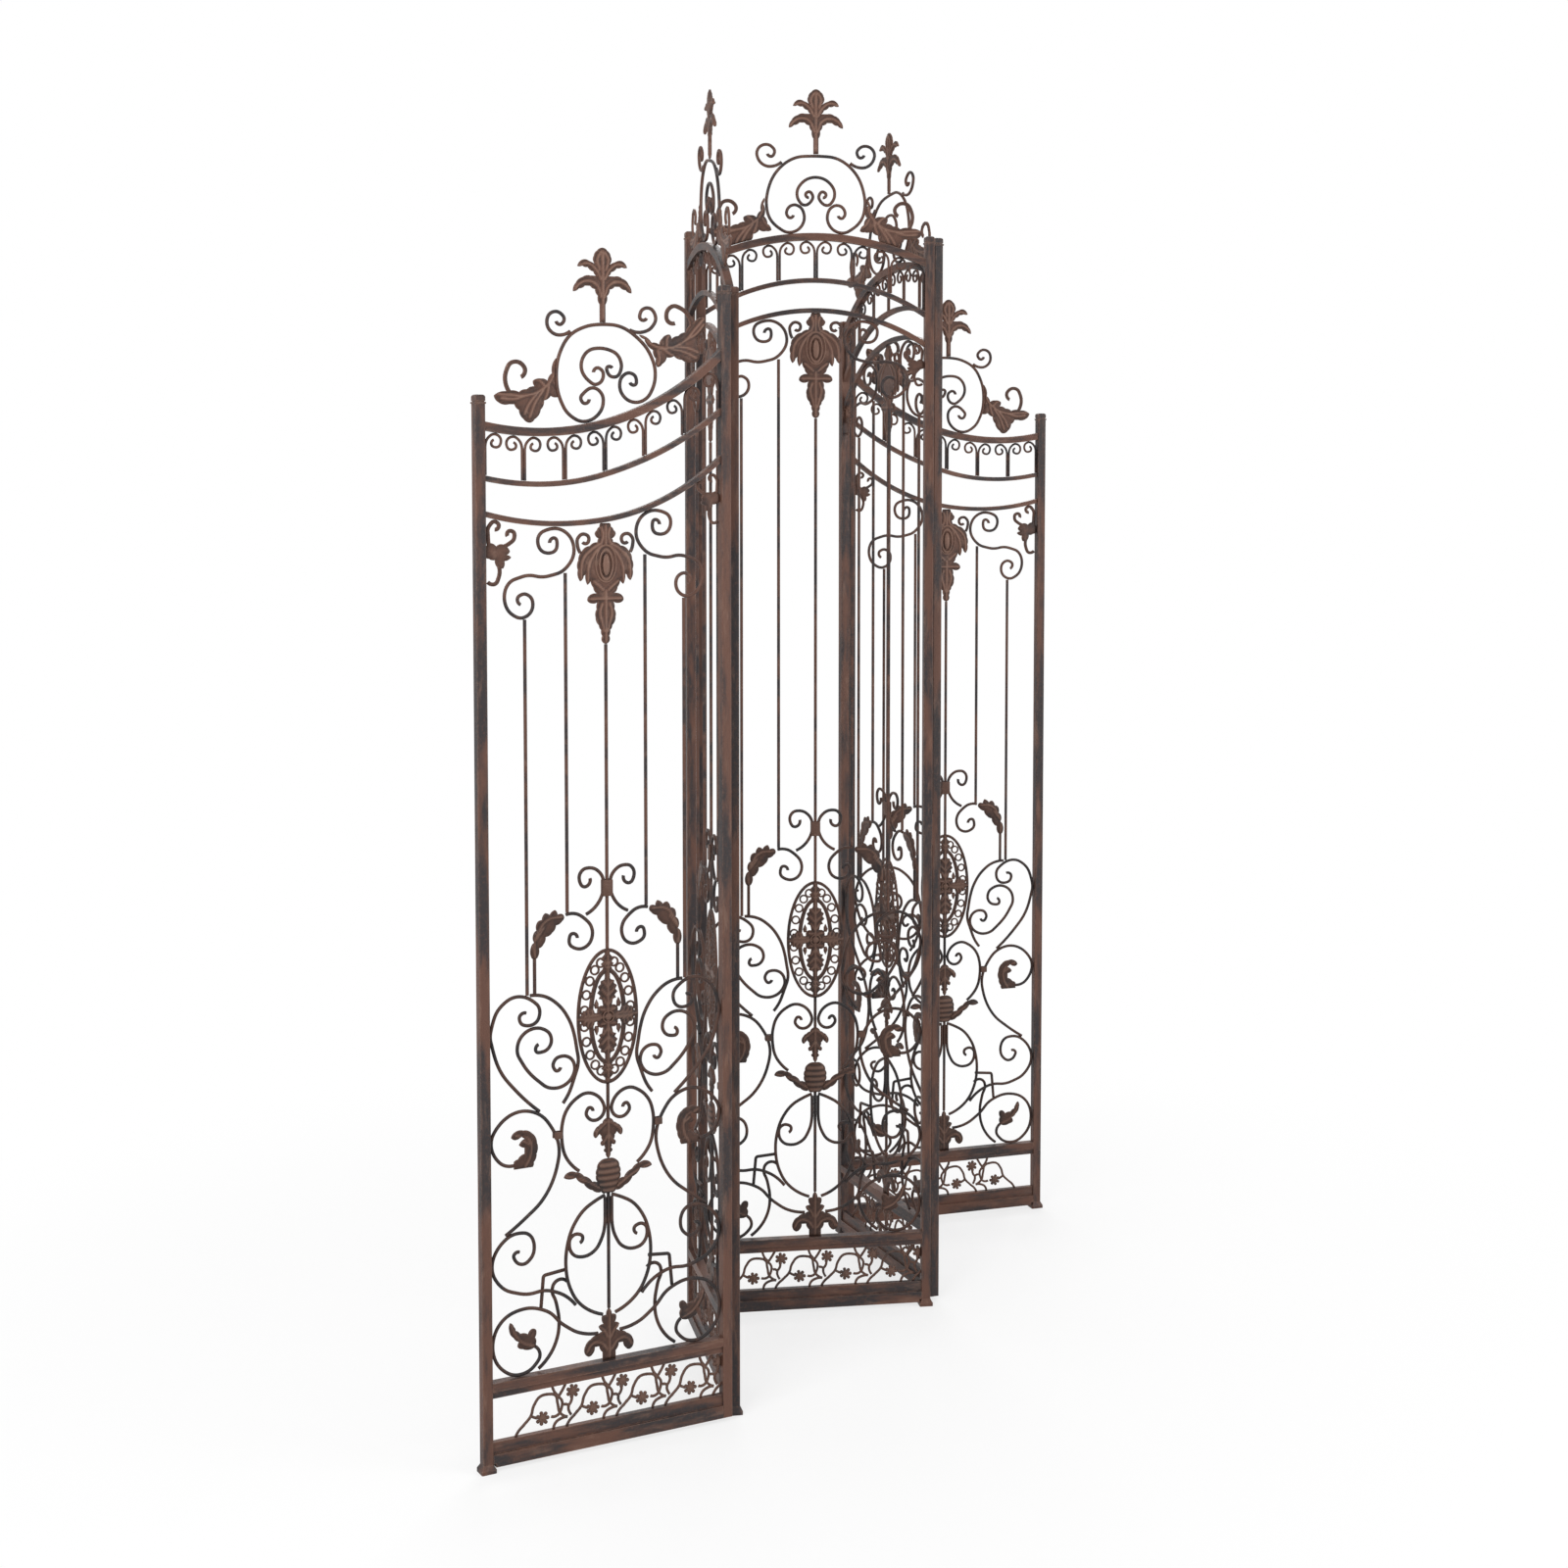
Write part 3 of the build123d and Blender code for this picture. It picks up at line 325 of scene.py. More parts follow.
def finish_shell(shape, points):
    """Turns a closed shell's faces outwards, and gives it the tone of a ridge, which the finish lightens partly
    as rubbed wear and partly as a painted highlight.
    """
    faces = dict.fromkeys(face for point in points for face in point.link_faces)
    bmesh.ops.recalc_face_normals(shape, faces=list(faces))
    tone_layer = shape.verts.layers.float[tone_name]
    for point in points:
        point[tone_layer] = detail_tone


def cup_outline():
    """The right half of the cup's outline, across and up, from its foot to its neck."""
    swell = cup_width - cup_foot
    widths = [cup_foot + swell * sin(pi * rib / (cup_ribs + 1)) for rib in range(cup_ribs + 1)]
    widths.append(cup_neck)
    outline = [(0.0, cup_bottom)]
    for rib in range(cup_ribs + 1):
        height = cup_rib if rib < cup_ribs else cup_top - cup_bottom - cup_ribs * cup_rib
        for step in range(rib_steps):
            part = (step + 0.5) / rib_steps
            width = widths[rib] + (widths[rib + 1] - widths[rib]) * part
            width += cup_bulge * sqrt(sin(pi * part)) - cup_bulge
            outline.append((width, cup_bottom + rib * cup_rib + part * height))
    return outline + [(0.0, cup_top)]


def add_cup(shape):
    """Adds the spun cup to a bmesh in a panel's directions."""
    points = [shape.verts.new((across, 0, up)) for across, up in cup_outline()]
    edges = [shape.edges.new(pair) for pair in zip(points, points[1:])]
    bmesh.ops.spin(
        shape, geom=points + edges, axis=(0, 0, 1), cent=(0, 0, 0), angle=2 * pi, steps=cup_sides,
        use_merge=True)
    whole = close_seams(shape, points)
    bmesh.ops.scale(shape, vec=(1, cup_depth / (2 * cup_width), 1), verts=whole)
    finish_shell(shape, whole)
    # The cup's tone paints shade at the joints between its ribs and a highlight across the middle of each rib.
    tone_layer = shape.verts.layers.float[tone_name]
    for point in whole:
        part = ((point.co.z - cup_bottom) / cup_rib) % 1
        point[tone_layer] = cup_joint_shade_tone + cup_rib_highlight_range * sin(pi * part)


def add_dome(shape, across, depth, up, radius, tall, rise):
    """Adds a low dome, standing out of a face at that depth."""
    made = bmesh.ops.create_uvsphere(
        shape, u_segments=dome_sides, v_segments=dome_rings, radius=radius)["verts"]
    bmesh.ops.scale(shape, vec=(1, rise / radius, tall / radius), verts=made)
    bmesh.ops.translate(shape, vec=(across, depth, up), verts=made)
    finish_shell(shape, made)


def add_moulding(shape, across, depth, up, wide, tall, bead):
    """Adds an oval bead moulding, lying on a face at that depth."""
    made = bmesh.ops.create_circle(shape, segments=bead_sides, radius=bead)["verts"]
    bmesh.ops.translate(shape, vec=(wide, 0, 0), verts=made)
    edges = list(dict.fromkeys(edge for point in made for edge in point.link_edges))
    bmesh.ops.spin(
        shape, geom=made + edges, axis=(0, 1, 0), cent=(0, 0, 0), angle=2 * pi, steps=moulding_sides,
        use_merge=True)
    whole = close_seams(shape, made)
    bmesh.ops.scale(shape, vec=(1, 1, tall / wide), verts=whole)
    bmesh.ops.translate(shape, vec=(across, depth, up), verts=whole)
    finish_shell(shape, whole)


print("cup outline of", len(cup_outline()), "points")

# %% [markdown]
# The ribs are drawn as short smooth lines in each casting's own directions, and mirrored where the leaf is
# even. A drop, a finial and the sprays hang at levels that differ from panel to panel, so their ribs are drawn
# from the top or the foot of the casting itself. Each pair is a distance across and a distance up.

# %% Draw the ribs
finial_ribs = (
    [(0, 6), (0, 60), (0, 118)], [(3, 42), (12, 62), (28, 68), (42, 63), (51, 53)],
    [(4, 72), (13, 88), (27, 97), (42, 93)], [(6, 88), (10, 104), (4, 116)],
)
drop_ribs = (
    [(0, -4), (0, -36)], [(8, -8), (5, -20), (8, -33)],
    [(10, -34), (26, -44), (40, -58), (45, -76), (45, -92)], [(8, -38), (21, -52), (31, -72), (33, -98)],
    [(0, -114), (0, -160), (0, -200)], [(7, -136), (11, -150), (7, -168), (3, -182)],
    [(0, -127), (28, -127)], [(5, -112), (12, -106), (22, -98)],
)
spray_ribs = (
    [(-1, -8), (-6, -34), (-20, -52), (-50, -66), (-84, -66), (-106, -65)],
    [(-24, -58), (-38, -78), (-48, -102)], [(-4, -44), (4, -56), (12, -61)],
    [(-22, -50), (-32, -41), (-39, -40)], [(-34, -62), (-50, -82), (-57, -97)],
    [(-58, -68), (-76, -73), (-98, -72)], [(-14, -46), (-16, -60), (-24, -80)],
)
spray_stem = [(-70, -68), (-87, -50), (-89, -25), (-77, -8), (-62, -10), (-55, -22), (-62, -32)]
spray_tip = (-110, -63)
stem_half = 3.5
palmette_ribs = ([(0, 4), (0, 86)], [(4, 18), (16, 32), (32, 33), (42, 20)], [(3, 40), (10, 52), (17, 58)])
fleur_ribs = ([(0, -4), (0, -66)], [(4, -6), (14, -14), (22, -22), (23, -29)], [(2, -30), (10, -42)])
leaf_ribs = (
    [(92, 864), (91, 884), (99, 906), (114, 924), (141, 928)], [(72, 510), (82, 530), (80, 554), (56, 566)],
    [(86, 201), (66, 210), (52, 226), (45, 243)], [(208, 454), (180, 471), (146, 483)],
    [(96, 896), (108, 912)], [(64, 558), (80, 548)],
)
cover_top, fleur_top = 152.0, 573.0
half_pitch, half_bay = 225.0, 216.0
rib_spot_spacing = 0.6
print(len(finial_ribs + drop_ribs + spray_ribs + palmette_ribs + fleur_ribs + leaf_ribs), "ribs drawn")

# %% [markdown]
# The medallion's solid has a plain cross and rings. The real casting has a leaved cross with a round hub, four
# spurs between the arms, and a fan above and below. Each is drawn as one quarter or half of an outline, and
# becomes a plate a little thicker than the cross. The plates lie over it and take the same relief.

# %% Draw the medallion
medallion_height = 749.0
medallion_half = (
    [(1, 20), (9, 31)], [(1, 36), (12, 47)], [(1, 52), (10, 62)], [(5, 11), (13, 13)],
    [(16, 3), (26, 5), (31, 14)], [(28, 3), (36, 7), (37, 15)], [(38, 3), (44, 6), (44, 12)],
    [(20, 16), (20.5, 29)], [(2, 83), (10, 91)], [(2, 91), (11, 99)],
)
medallion_ribs = ([(0, -112), (0, 112)], [(-54, 0), (54, 0)]) + medallion_half + tuple(
    [(across, -up) for across, up in points] for points in medallion_half)
upright_arm = [
    (1.6, 79), (3, 68), (6, 63), (12.5, 61), (12, 56), (17.5, 52), (14.5, 46), (18.5, 41), (13, 36), (16, 31),
    (10, 29), (8, 20), (9, 10), (9, 0),
]
level_arm = [
    (1, 16), (10, 17), (15.5, 15), (17.5, 10), (20, 7), (24, 8), (25.5, 13), (29, 16.5), (33, 14), (37, 17),
    (41, 13), (45, 13.5), (47.5, 8), (50.5, 4),
]
spur = [(17, 15), (23, 15), (25, 21), (20.5, 31), (17, 24)]
fan = [(9, 80), (7, 86), (12, 90), (7, 94), (13, 99), (8, 103), (4, 107)]
hub_radius, hub_sides = 13.5, 32
leaf_depth, arm_depth, hub_depth = 4.6, 4.9, 5.3


def add_plate(shape, outline, half_depth):
    """Adds a flat plate with this outline, across and up, as thick as twice the half depth."""
    corners = [shape.verts.new((across, -half_depth, up)) for across, up in outline]
    face = shape.faces.new(corners)
    raised = bmesh.ops.extrude_face_region(shape, geom=[face])["geom"]
    moved = [item for item in raised if isinstance(item, bmesh.types.BMVert)]
    bmesh.ops.translate(shape, vec=(0, 2 * half_depth, 0), verts=moved)
    faces = dict.fromkeys(face for point in corners + moved for face in point.link_faces)
    bmesh.ops.recalc_face_normals(shape, faces=list(faces))


def raised_to_medallion(points, side=1, way=1):
    """An outline drawn from the medallion's middle, mirrored as the signs say and lifted to its height."""
    return [(side * across, medallion_height + way * up) for across, up in points]


def four_quarters(points):
    """The whole outline of which the upper right quarter is drawn, from above down to the middle."""
    right = points + [(across, -up) for across, up in reversed(points) if up]
    return right + [(-across, up) for across, up in reversed(right) if across]


def add_cross(shape):
    """Adds the medallion's leaved cross, its hub and spurs, and the fans above and below it."""
    add_plate(shape, raised_to_medallion(four_quarters(upright_arm)), leaf_depth)
    add_plate(shape, raised_to_medallion(four_quarters(level_arm)), arm_depth)
    turns = [2 * pi * number / hub_sides for number in range(hub_sides)]
    circle = [(hub_radius * cos(turn), hub_radius * sin(turn)) for turn in turns]
    add_plate(shape, raised_to_medallion(circle), hub_depth)
    whole_fan = fan + [(-across, up) for across, up in reversed(fan)]
    for way in (1, -1):
        add_plate(shape, raised_to_medallion(whole_fan, 1, way), leaf_depth)
        for side in (1, -1):
            add_plate(shape, raised_to_medallion(spur, side, way), leaf_depth)


print(len(medallion_ribs), "ribs and", len(four_quarters(upright_arm)), "corners in the upright arm")

# %% [markdown]
# A rib is a line through a few points. Blender's own curves make it smooth: a curve is drawn through them, its
# points are read off as spots close together, and the curve is deleted again.

# %% Turn ribs into spots
def smooth_spots(points):
    """Spots along a smooth line through a few points, from a curve that Blender works out."""
    curve = bpy.data.curves.new("rib", "CURVE")
    curve.dimensions = "3D"
    line = curve.splines.new("BEZIER")
    line.bezier_points.add(len(points) - 1)
    length = 0.0
    for number, (across, up) in enumerate(points):
        knot = line.bezier_points[number]
        knot.co = (across, 0, up)
        knot.handle_left_type = knot.handle_right_type = "AUTO"
        if number:
            length += (Vector(points[number]) - Vector(points[number - 1])).length
    curve.resolution_u = max(2, int(length / rib_spot_spacing / (len(points) - 1)))
    holder = bpy.data.objects.new("rib", curve)
    bpy.context.scene.collection.objects.link(holder)
    bpy.context.view_layer.update()
    evaluated = holder.evaluated_get(bpy.context.evaluated_depsgraph_get())
    drawn = bpy.data.meshes.new_from_object(evaluated)
    spots = [point.co.copy() for point in drawn.vertices]
    bpy.data.objects.remove(holder)
    bpy.data.curves.remove(curve)
    bpy.data.meshes.remove(drawn)
    return spots


def laid_out(ribs, place, even=True):
    """The spots of some ribs, and of their mirror images, moved by a matrix."""
    spots = []
    for points in ribs:
        for way in (1, -1) if even else (1,):
            spots += [place @ Vector((way * spot.x, 0, spot.z)) for spot in smooth_spots(points)]
    return spots


print("a finial's middle rib has", len(smooth_spots(finial_ribs[0])), "spots")

# %% [markdown]
# The castings of one node are told apart by their size: the drop is the tallest, the finial stands in the
# middle, and the sprays are wide. The right spray of an outer panel leans up the steep end of its rail.

# %% Lay the ribs on the castings
boss_drop = 70.0
outer_lean = 45.0
drop_least, finial_least, spray_least, near_middle = 180.0, 100.0, 60.0, 20.0


def spread_of(points):
    """The lowest and highest corner of some points of a bmesh."""
    low = Vector([min(point.co[axis] for point in points) for axis in range(3)])
    high = Vector([max(point.co[axis] for point in points) for axis in range(3)])
    return low, high


def spray_place(low, high, side, lean):
    """Where a spray's own drawing lies, from its box: its hooked stem gives the top, its tip the reach."""
    turned = Matrix.Rotation(radians(-lean), 4, "Y") @ Matrix.Diagonal((-side, 1, 1, 1))
    marks = [turned @ Vector((across, 0, up)) for across, up in spray_stem + [spray_tip]]
    top = max(mark.z for mark in marks[:-1]) + stem_half
    past = stem_half if lean else 0.0
    if side < 0:
        move = low.x - (min(mark.x for mark in marks) - past)
    else:
        move = high.x - (max(mark.x for mark in marks) + past)
    return Matrix.Translation((move, 0, high.z - top)) @ turned


def upper_ribs(castings, panel):
    """The ribs of a panel's finial, drop and sprays, and the level of the drop's boss."""
    spots = []
    boss = None
    for points in castings:
        low, high = spread_of(points)
        middle = Matrix.Translation(((low.x + high.x) / 2, 0, 0))
        if high.z - low.z > drop_least:
            boss = high.z - boss_drop
            spots += laid_out(drop_ribs, Matrix.Translation((0, 0, high.z)))
        elif abs(low.x + high.x) < near_middle and high.z - low.z > finial_least:
            spots += laid_out(finial_ribs, middle @ Matrix.Translation((0, 0, low.z)))
        elif high.x - low.x > spray_least:
            side = -1 if low.x + high.x < 0 else 1
            lean = outer_lean if side > 0 and panel.endswith("outer") else 0.0
            spots += laid_out(spray_ribs, spray_place(low, high, side, lean), even=False)
    return spots, boss


def lower_ribs():
    """The ribs of the leaves below the pickets, which stand at the same levels on every panel."""
    spots = laid_out(palmette_ribs, Matrix.Translation((0, 0, cover_top)))
    spots += laid_out(fleur_ribs, Matrix.Translation((0, 0, fleur_top)))
    spots += laid_out(medallion_ribs, Matrix.Translation((0, 0, medallion_height)))
    for way in (1, -1):
        place = Matrix.Diagonal((way, 1, 1, 1)) @ Matrix.Translation((-half_pitch, 0, 0))
        spots += laid_out(leaf_ribs, place, even=False)
    return spots


# %% [markdown]
# Castings that came from one pattern are worked once and used again. The lower castings and the friezes are
# the same on all the left panels, and everything on a right panel is the left one's mirror image. A mirrored
# mesh is inside out, so its faces are turned round.

# %% Carve the castings
flower_hearts = ((78, 109), (22, 72))
vine_repeat, vine_start, vine_repeats = 93.0, -53.0, range(-1, 5)
heart_margin = 6
collar_ease = 0.6
leaf_style = dict(core=1.2, roll=3.0, swell=5.0, ground=0.55, rib_width=1.9)
vine_style = dict(core=0.9, roll=2.2, swell=3.0, ground=1.0, rib_width=1.0)
styles = {"upper_castings": leaf_style, "lower_castings": leaf_style, "vine_frieze": vine_style}
grid_steps = {"upper_castings": 2.5, "lower_castings": 2.8, "vine_frieze": 2.8}


def add_hearts(shape):
    """Adds a domed heart to both faces of every flower of a frieze."""
    for repeat in vine_repeats:
        for across, up in flower_hearts:
            middle = vine_start + repeat * vine_repeat + across
            if abs(middle) < half_bay - heart_margin:
                for side in (-1, 1):
                    add_dome(shape, middle, side * 2.2, up, radius=2.8, tall=2.8, rise=1.3)


def carve(panel, kind):
    """The worked copy of one casting node, as a bmesh in the panel's directions."""
    shape = casting_copy(f"{panel}_{kind}", places[panel])
    if kind == "lower_castings":
        add_cross(shape)
    cast = separate_castings(shape)
    ribs, boss = upper_ribs(cast, panel) if kind == "upper_castings" else ([], None)
    if kind == "lower_castings":
        ribs = lower_ribs()
    collars = set()
    for points in cast:
        if is_collar(points):
            collars.update(points)
        else:
            cut_grid(shape, points, grid_steps[kind])
    raise_relief(shape, collars, ribs, **styles[kind])
    ease_corners(shape, collars, collar_ease)
    if kind == "upper_castings":
        add_dome(shape, 0, -4.8, boss, radius=6.5, tall=18.5, rise=3.0)
        add_moulding(shape, 0, -3.6, boss, wide=12.0, tall=25.0, bead=1.5)
        add_moulding(shape, 0, -3.0, boss + 2, wide=19.0, tall=31.0, bead=1.2)
    elif kind == "lower_castings":
        add_cup(shape)
        add_dome(shape, 0, -5.0, medallion_height, radius=6.0, tall=6.0, rise=2.2)
        add_moulding(shape, 0, -4.4, medallion_height, wide=10.0, tall=10.0, bead=1.2)
    else:
        add_hearts(shape)
    return shape


patterns = {}
for panel in ("left_outer", "left_inner", "centre"):
    patterns[panel, "upper_castings"] = carve(panel, "upper_castings")
for kind in ("lower_castings", "vine_frieze"):
    patterns[kind] = carve("centre", kind)
for pattern, shape in patterns.items():
    print(pattern, len(shape.faces), "faces")

# %% Cast a set for every panel
castings = {}
for panel in panels:
    twin = panel.replace("right", "left")
    for kind in ("upper_castings", "lower_castings", "vine_frieze"):
        pattern = patterns[twin, kind] if kind == "upper_castings" else patterns[kind]
        shape = pattern.copy()
        if panel != twin:
            bmesh.ops.scale(shape, vec=(-1, 1, 1), verts=shape.verts)
            bmesh.ops.reverse_faces(shape, faces=shape.faces)
        name = f"{panel}_carved_{kind}"
        castings[name] = finished_piece(
            shape, name, places[panel], f"{panel}_panel", [f"{panel}_{kind}"])
for shape in patterns.values():
    shape.free()
print(len(castings), "worked castings")

# %% [markdown]
# ## Finishes
# A finish is a chain of shader nodes. Four small helpers make the links that every finish here repeats, so that
# the recipe further down reads as a list of layers.

# %% Four small helpers for nodes
def ramp_of(nodes, links, source, low, high, low_value=0.0, high_value=1.0):
    """Spreads a grey value between two levels."""
    spread = nodes.new("ShaderNodeMapRange")
    spread.interpolation_type = "SMOOTHSTEP"
    spread.inputs["From Min"].default_value = low
    spread.inputs["From Max"].default_value = high
    spread.inputs["To Min"].default_value = low_value
    spread.inputs["To Max"].default_value = high_value
    links.new(source, spread.inputs["Value"])
    return spread.outputs["Result"]


def noise_of(nodes, links, place, scale, detail, roughness=0.6):
    """A noise texture's grey value."""
    texture = nodes.new("ShaderNodeTexNoise")
    texture.inputs["Scale"].default_value = scale
    texture.inputs["Detail"].default_value = detail
    texture.inputs["Roughness"].default_value = roughness
    links.new(place, texture.inputs["Vector"])
    return texture.outputs["Fac"]


def mixed(nodes, links, factor, first, second):
    """One colour laid over another, where the factor says. Each colour is a value or a socket."""
    mix = nodes.new("ShaderNodeMix")
    mix.data_type = "RGBA"
    sockets = {socket.identifier: socket for socket in (*mix.inputs, *mix.outputs)}
    links.new(factor, sockets["Factor_Float"])
    for colour, socket in ((first, sockets["A_Color"]), (second, sockets["B_Color"])):
        if isinstance(colour, tuple):
            socket.default_value = colour
        else:
            links.new(colour, socket)
    return sockets["Result_Color"]


def scaled(nodes, links, first, second, operation="MULTIPLY"):
    """Two grey values, or a value and a number, multiplied or otherwise joined."""
    maths = nodes.new("ShaderNodeMath")
    maths.operation = operation
    maths.use_clamp = True
    links.new(first, maths.inputs[0])
    if isinstance(second, float):
        maths.inputs[1].default_value = second
    else:
        links.new(second, maths.inputs[1])
    return maths.outputs["Value"]


# %% [markdown]
# All of it is iron that was painted dark, then rusted and rubbed. A dark slate and a red-brown are mixed in
# long patches, a finer noise freckles them, and a light brown shows where hands and weather have rubbed. On the
# castings the kept height paints shade into the hollows and lightens the ridges, partly as rubbed wear and
# partly as a painted highlight, and on posts and rails a Bevel node finds the corners, which are rubbed too.
# The patterns are on object coordinates, so they run on from one bar to the next.

# %% Aged iron
slate = (0.031, 0.0255, 0.0265)
rust = (0.110, 0.052, 0.036)
# The light brown is rubbed wear, and on the castings' ridges also a painted highlight.
rubbed_wear_and_highlight = (0.235, 0.140, 0.103)
# The darkest colour is painted shade for the hollows of the castings.
hollow_shade = (0.022, 0.014, 0.011)
upright, level, even = (1.0, 1.0, 0.2), (0.2, 0.2, 1.0), (0.6, 0.6, 0.6)


def carved_tones(nodes, links, colour, light, painted_hollow_shade):
    """Lightens the ridges of a casting, partly as rubbed wear and partly as a painted highlight, and paints
    shade into its hollows, by the height kept on its points.
    """
    height = nodes.new("ShaderNodeAttribute")
    height.attribute_name = tone_name
    # Lighter on the ridges: partly rubbed wear, partly a painted highlight.
    ridge = ramp_of(nodes, links, height.outputs["Fac"], low=0.60, high=0.98, high_value=0.65)
    colour = mixed(nodes, links, ridge, colour, light)
    # Darker in the hollows: painted shade.
    deep = ramp_of(nodes, links, height.outputs["Fac"], low=0.30, high=0.62, low_value=0.75, high_value=0.0)
    return mixed(nodes, links, deep, colour, painted_hollow_shade)


def worn_corners(nodes, links, place, colour, light, radius):
    """Lightens the corners, which a Bevel node finds: its normal turns away from the face's own there."""
    rounded = nodes.new("ShaderNodeBevel")
    rounded.samples = 4
    rounded.inputs["Radius"].default_value = radius
    facing = nodes.new("ShaderNodeVectorMath")
    facing.operation = "DOT_PRODUCT"
    links.new(rounded.outputs["Normal"], facing.inputs[0])
    links.new(nodes.new("ShaderNodeNewGeometry").outputs["Normal"], facing.inputs[1])
    edges = ramp_of(nodes, links, facing.outputs["Value"], low=0.995, high=0.90, high_value=0.8)
    wear = noise_of(nodes, links, place, scale=110, detail=4)
    broken = ramp_of(nodes, links, wear, low=0.38, high=0.62, low_value=0.25)
    return mixed(nodes, links, scaled(nodes, links, edges, broken), colour, light)


def aged_iron(
        name, rust_low, rust_high, rub, grain=upright, edge_radius=0.0, carved=False, metal=0.25, shade=1.0):
    """Dark painted iron, rusted and worn bright. The lower the rust levels, the more of it is red-brown."""
    dark, red, light, painted_hollow_shade = [
        (*(part * shade for part in colour), 1) for colour in (slate, rust, rubbed_wear_and_highlight, hollow_shade)]
    material = bpy.data.materials.new(name)
    material.use_nodes = True
    nodes, links = material.node_tree.nodes, material.node_tree.links
    shader = nodes["Principled BSDF"]
    place = nodes.new("ShaderNodeTexCoord").outputs["Object"]
    along = nodes.new("ShaderNodeMapping")
    along.inputs["Scale"].default_value = grain
    links.new(place, along.inputs["Vector"])
    long_place = along.outputs["Vector"]

    patchy = noise_of(nodes, links, long_place, scale=26, detail=5)
    colour = mixed(nodes, links, ramp_of(nodes, links, patchy, rust_low, rust_high), dark, red)
    fine = noise_of(nodes, links, place, scale=190, detail=5, roughness=0.7)
    freckles = ramp_of(nodes, links, fine, low=0.50, high=0.72, high_value=0.55)
    colour = mixed(nodes, links, freckles, colour, red)
    streaky = noise_of(nodes, links, long_place, scale=75, detail=6, roughness=0.65)
    bloom = ramp_of(nodes, links, streaky, low=0.52, high=0.74, high_value=rub)
    colour = mixed(nodes, links, bloom, colour, light)
    if carved:
        colour = carved_tones(nodes, links, colour, light, painted_hollow_shade)
    if edge_radius:
        colour = worn_corners(nodes, links, place, colour, light, edge_radius)
    links.new(colour, shader.inputs["Base Color"])
    shader.inputs["Metallic"].default_value = metal
    shader.inputs["Specular IOR Level"].default_value = 0.35
    pits = noise_of(nodes, links, place, scale=420, detail=6, roughness=0.7)
    rough = ramp_of(nodes, links, pits, low=0.3, high=0.7, low_value=0.42, high_value=0.68)
    links.new(rough, shader.inputs["Roughness"])
    bump = nodes.new("ShaderNodeBump")
    bump.inputs["Strength"].default_value = 0.35
    bump.inputs["Distance"].default_value = 0.0006
    links.new(pits, bump.inputs["Height"])
    links.new(bump.outputs["Normal"], shader.inputs["Normal"])
    return material


post_iron = aged_iron("aged_post_iron", 0.42, 0.60, 0.40, edge_radius=0.0025)
rail_iron = aged_iron("aged_rail_iron", 0.42, 0.60, 0.40, grain=level, edge_radius=0.0025)
rod_iron = aged_iron("aged_rod_iron", 0.38, 0.58, 0.40, grain=even, shade=0.85)
# The dark scroll iron and the dark cast iron are darker copies by their shade factor: painted shade for the
# dimmer light low on the screen.
scroll_iron = aged_iron("shaded_scroll_iron", 0.40, 0.60, 0.35, grain=even, shade=0.55)
cast_iron = aged_iron("carved_cast_iron", 0.26, 0.48, 0.55, grain=even, carved=True)
shaded_cast_iron = aged_iron("shaded_cast_iron", 0.30, 0.52, 0.45, grain=even, carved=True, shade=0.7)
hinge_steel = aged_iron("worn_hinge_steel", 0.46, 0.66, 0.30, metal=0.5)
print(len(bpy.data.materials), "finishes")

# %% [markdown]
# The castings made here take the carved finish, and the low ones a darker copy of it, which is a little less
# rubbed and whose darkness is painted shade for the dimmer light low down. Every solid that still shows takes
# the finish of its kind, by the end of its name.

# %% Give everything its finish
finishes = {
    "post": post_iron, "arched_rails": rail_iron, "base_rails": rail_iron, "pickets": rod_iron,
    "upper_scrolls": rod_iron, "lower_scrolls": scroll_iron, "knuckles": hinge_steel, "pins": hinge_steel,
}


def paint(piece, material):
    """Gives a piece one finish."""
    piece.data.materials.clear()
    piece.data.materials.append(material)


for name, piece in castings.items():
    paint(piece, cast_iron if name.endswith("upper_castings") else shaded_cast_iron)
for name, piece in frame["nodes"].items():
    chosen = [material for ending, material in finishes.items() if name.endswith(ending)]
    paint(piece, chosen[0] if chosen else cast_iron)
print(len(frame["nodes"]), "solids painted")

# %% [markdown]
# ## Stage, light and camera
# The floor is pale and keeps the screen's shadow. Most of what the camera sees of it is an even white, mixed
# in with Light Path, so the lamps don't have to be turned up to make it white. Further out it is all white and
# joins the backdrop without an edge.

# %% Floor and backdrop
floor_half = 30
white_share, fade_from, fade_to = 0.72, 0.9, 2.2
fill_light = 0.55
floor_mesh = bpy.data.meshes.new("pale_floor")
shape = bmesh.new()
bmesh.ops.create_grid(shape, x_segments=1, y_segments=1, size=floor_half)
shape.to_mesh(floor_mesh)
shape.free()
floor = bpy.data.objects.new("pale_floor", floor_mesh)
bpy.context.scene.collection.objects.link(floor)

pale = bpy.data.materials.new("pale_floor")
pale.use_nodes = True
nodes, links = pale.node_tree.nodes, pale.node_tree.links
nodes["Principled BSDF"].inputs["Base Color"].default_value = (0.85, 0.85, 0.85, 1)
nodes["Principled BSDF"].inputs["Roughness"].default_value = 0.9
glow = nodes.new("ShaderNodeEmission")
glow.inputs["Color"].default_value = (1, 1, 1, 1)
glow.inputs["Strength"].default_value = 1.0


def background_rays(nodes, links, share):
    """A factor that is a share for rays that show the background, and 0 for those that light the screen."""
    path = nodes.new("ShaderNodeLightPath")
    seen = scaled(nodes, links, path.outputs["Is Camera Ray"], path.outputs["Is Glossy Ray"], "ADD")
    seen = scaled(nodes, links, seen, path.outputs["Is Transmission Ray"], "ADD")
    return scaled(nodes, links, seen, share)


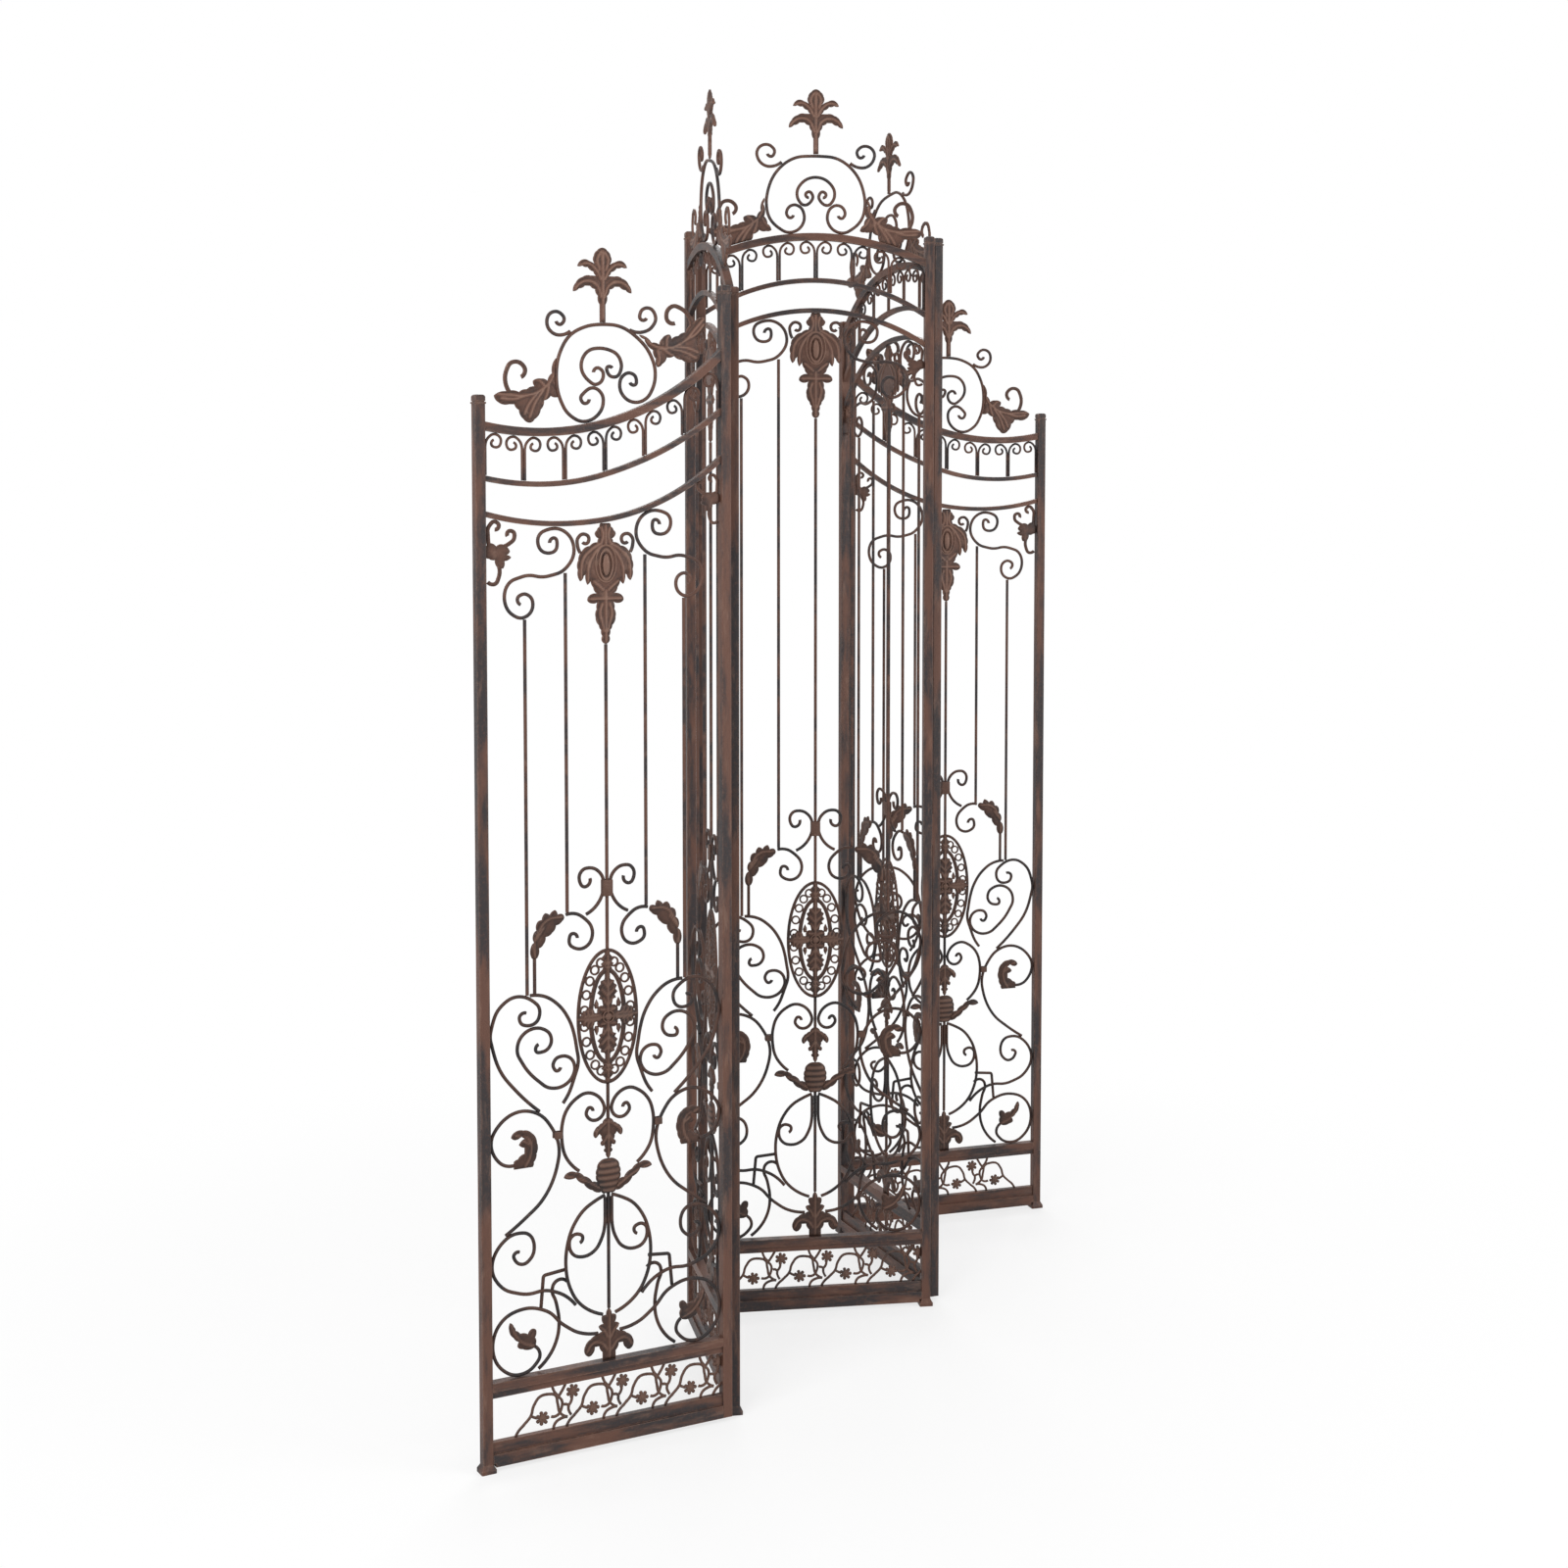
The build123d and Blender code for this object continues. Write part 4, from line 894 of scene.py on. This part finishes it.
spot = nodes.new("ShaderNodeVectorMath")
spot.operation = "LENGTH"
links.new(nodes.new("ShaderNodeTexCoord").outputs["Object"], spot.inputs[0])
far = ramp_of(nodes, links, spot.outputs["Value"], fade_from, fade_to, low_value=white_share)
blend = nodes.new("ShaderNodeMixShader")
links.new(background_rays(nodes, links, far), blend.inputs["Fac"])
links.new(nodes["Principled BSDF"].outputs["BSDF"], blend.inputs[1])
links.new(glow.outputs["Emission"], blend.inputs[2])
links.new(blend.outputs["Shader"], nodes["Material Output"].inputs["Surface"])
floor_mesh.materials.append(pale)

world = bpy.data.worlds.new("studio")
bpy.context.scene.world = world
world.use_nodes = True
nodes, links = world.node_tree.nodes, world.node_tree.links
soft = nodes["Background"]
soft.inputs["Color"].default_value = (1, 1, 1, 1)
soft.inputs["Strength"].default_value = fill_light
white = nodes.new("ShaderNodeBackground")
white.inputs["Color"].default_value = (1, 1, 1, 1)
white.inputs["Strength"].default_value = 1.0
blend = nodes.new("ShaderNodeMixShader")
links.new(background_rays(nodes, links, 1.0), blend.inputs["Fac"])
links.new(soft.outputs["Background"], blend.inputs[1])
links.new(white.outputs["Background"], blend.inputs[2])
links.new(blend.outputs["Shader"], nodes["World Output"].inputs["Surface"])
print("floor", 2 * floor_half, "m wide, fill light", fill_light)

# %% [markdown]
# Three soft lamps: a large one over the left front, a weaker one at the right, and one behind and above that
# picks out the rims of the bars.

# %% Lamps
middle_of_screen = Vector((0, 0, 1.2))


def soft_lamp(name, place, size, power):
    """A square area lamp that looks at the middle of the screen."""
    light = bpy.data.lights.new(name, "AREA")
    light.shape = "SQUARE"
    light.size = size
    light.energy = power
    lamp = bpy.data.objects.new(name, light)
    bpy.context.scene.collection.objects.link(lamp)
    lamp.location = place
    lamp.rotation_euler = (middle_of_screen - Vector(place)).to_track_quat("-Z", "Y").to_euler()
    return lamp


soft_lamp("front_lamp", (-3.2, -4.2, 3.6), size=2.6, power=190)
soft_lamp("side_lamp", (4.0, -2.6, 2.2), size=2.2, power=90)
soft_lamp("rim_lamp", (0.8, 4.0, 4.2), size=2.6, power=110)
print(len(bpy.data.lights), "lamps")

# %% [markdown]
# The camera stands at a person's eye height, a little to the left, and looks slightly down.

# %% Camera
eye = (-0.746, -4.469, 1.686)
look_down, look_right = 3.59, 9.02
lens = bpy.data.cameras.new("camera")
lens.sensor_width = 36.0
lens.lens = 53.75
lens.shift_y = -0.11
camera = bpy.data.objects.new("camera", lens)
bpy.context.scene.collection.objects.link(camera)
camera.location = eye
camera.rotation_euler = (radians(90 - look_down), 0, radians(-look_right))
bpy.context.scene.camera = camera
bpy.context.scene.view_settings.view_transform = "Standard"
print("camera at", eye, "with a lens of", lens.lens, "mm")
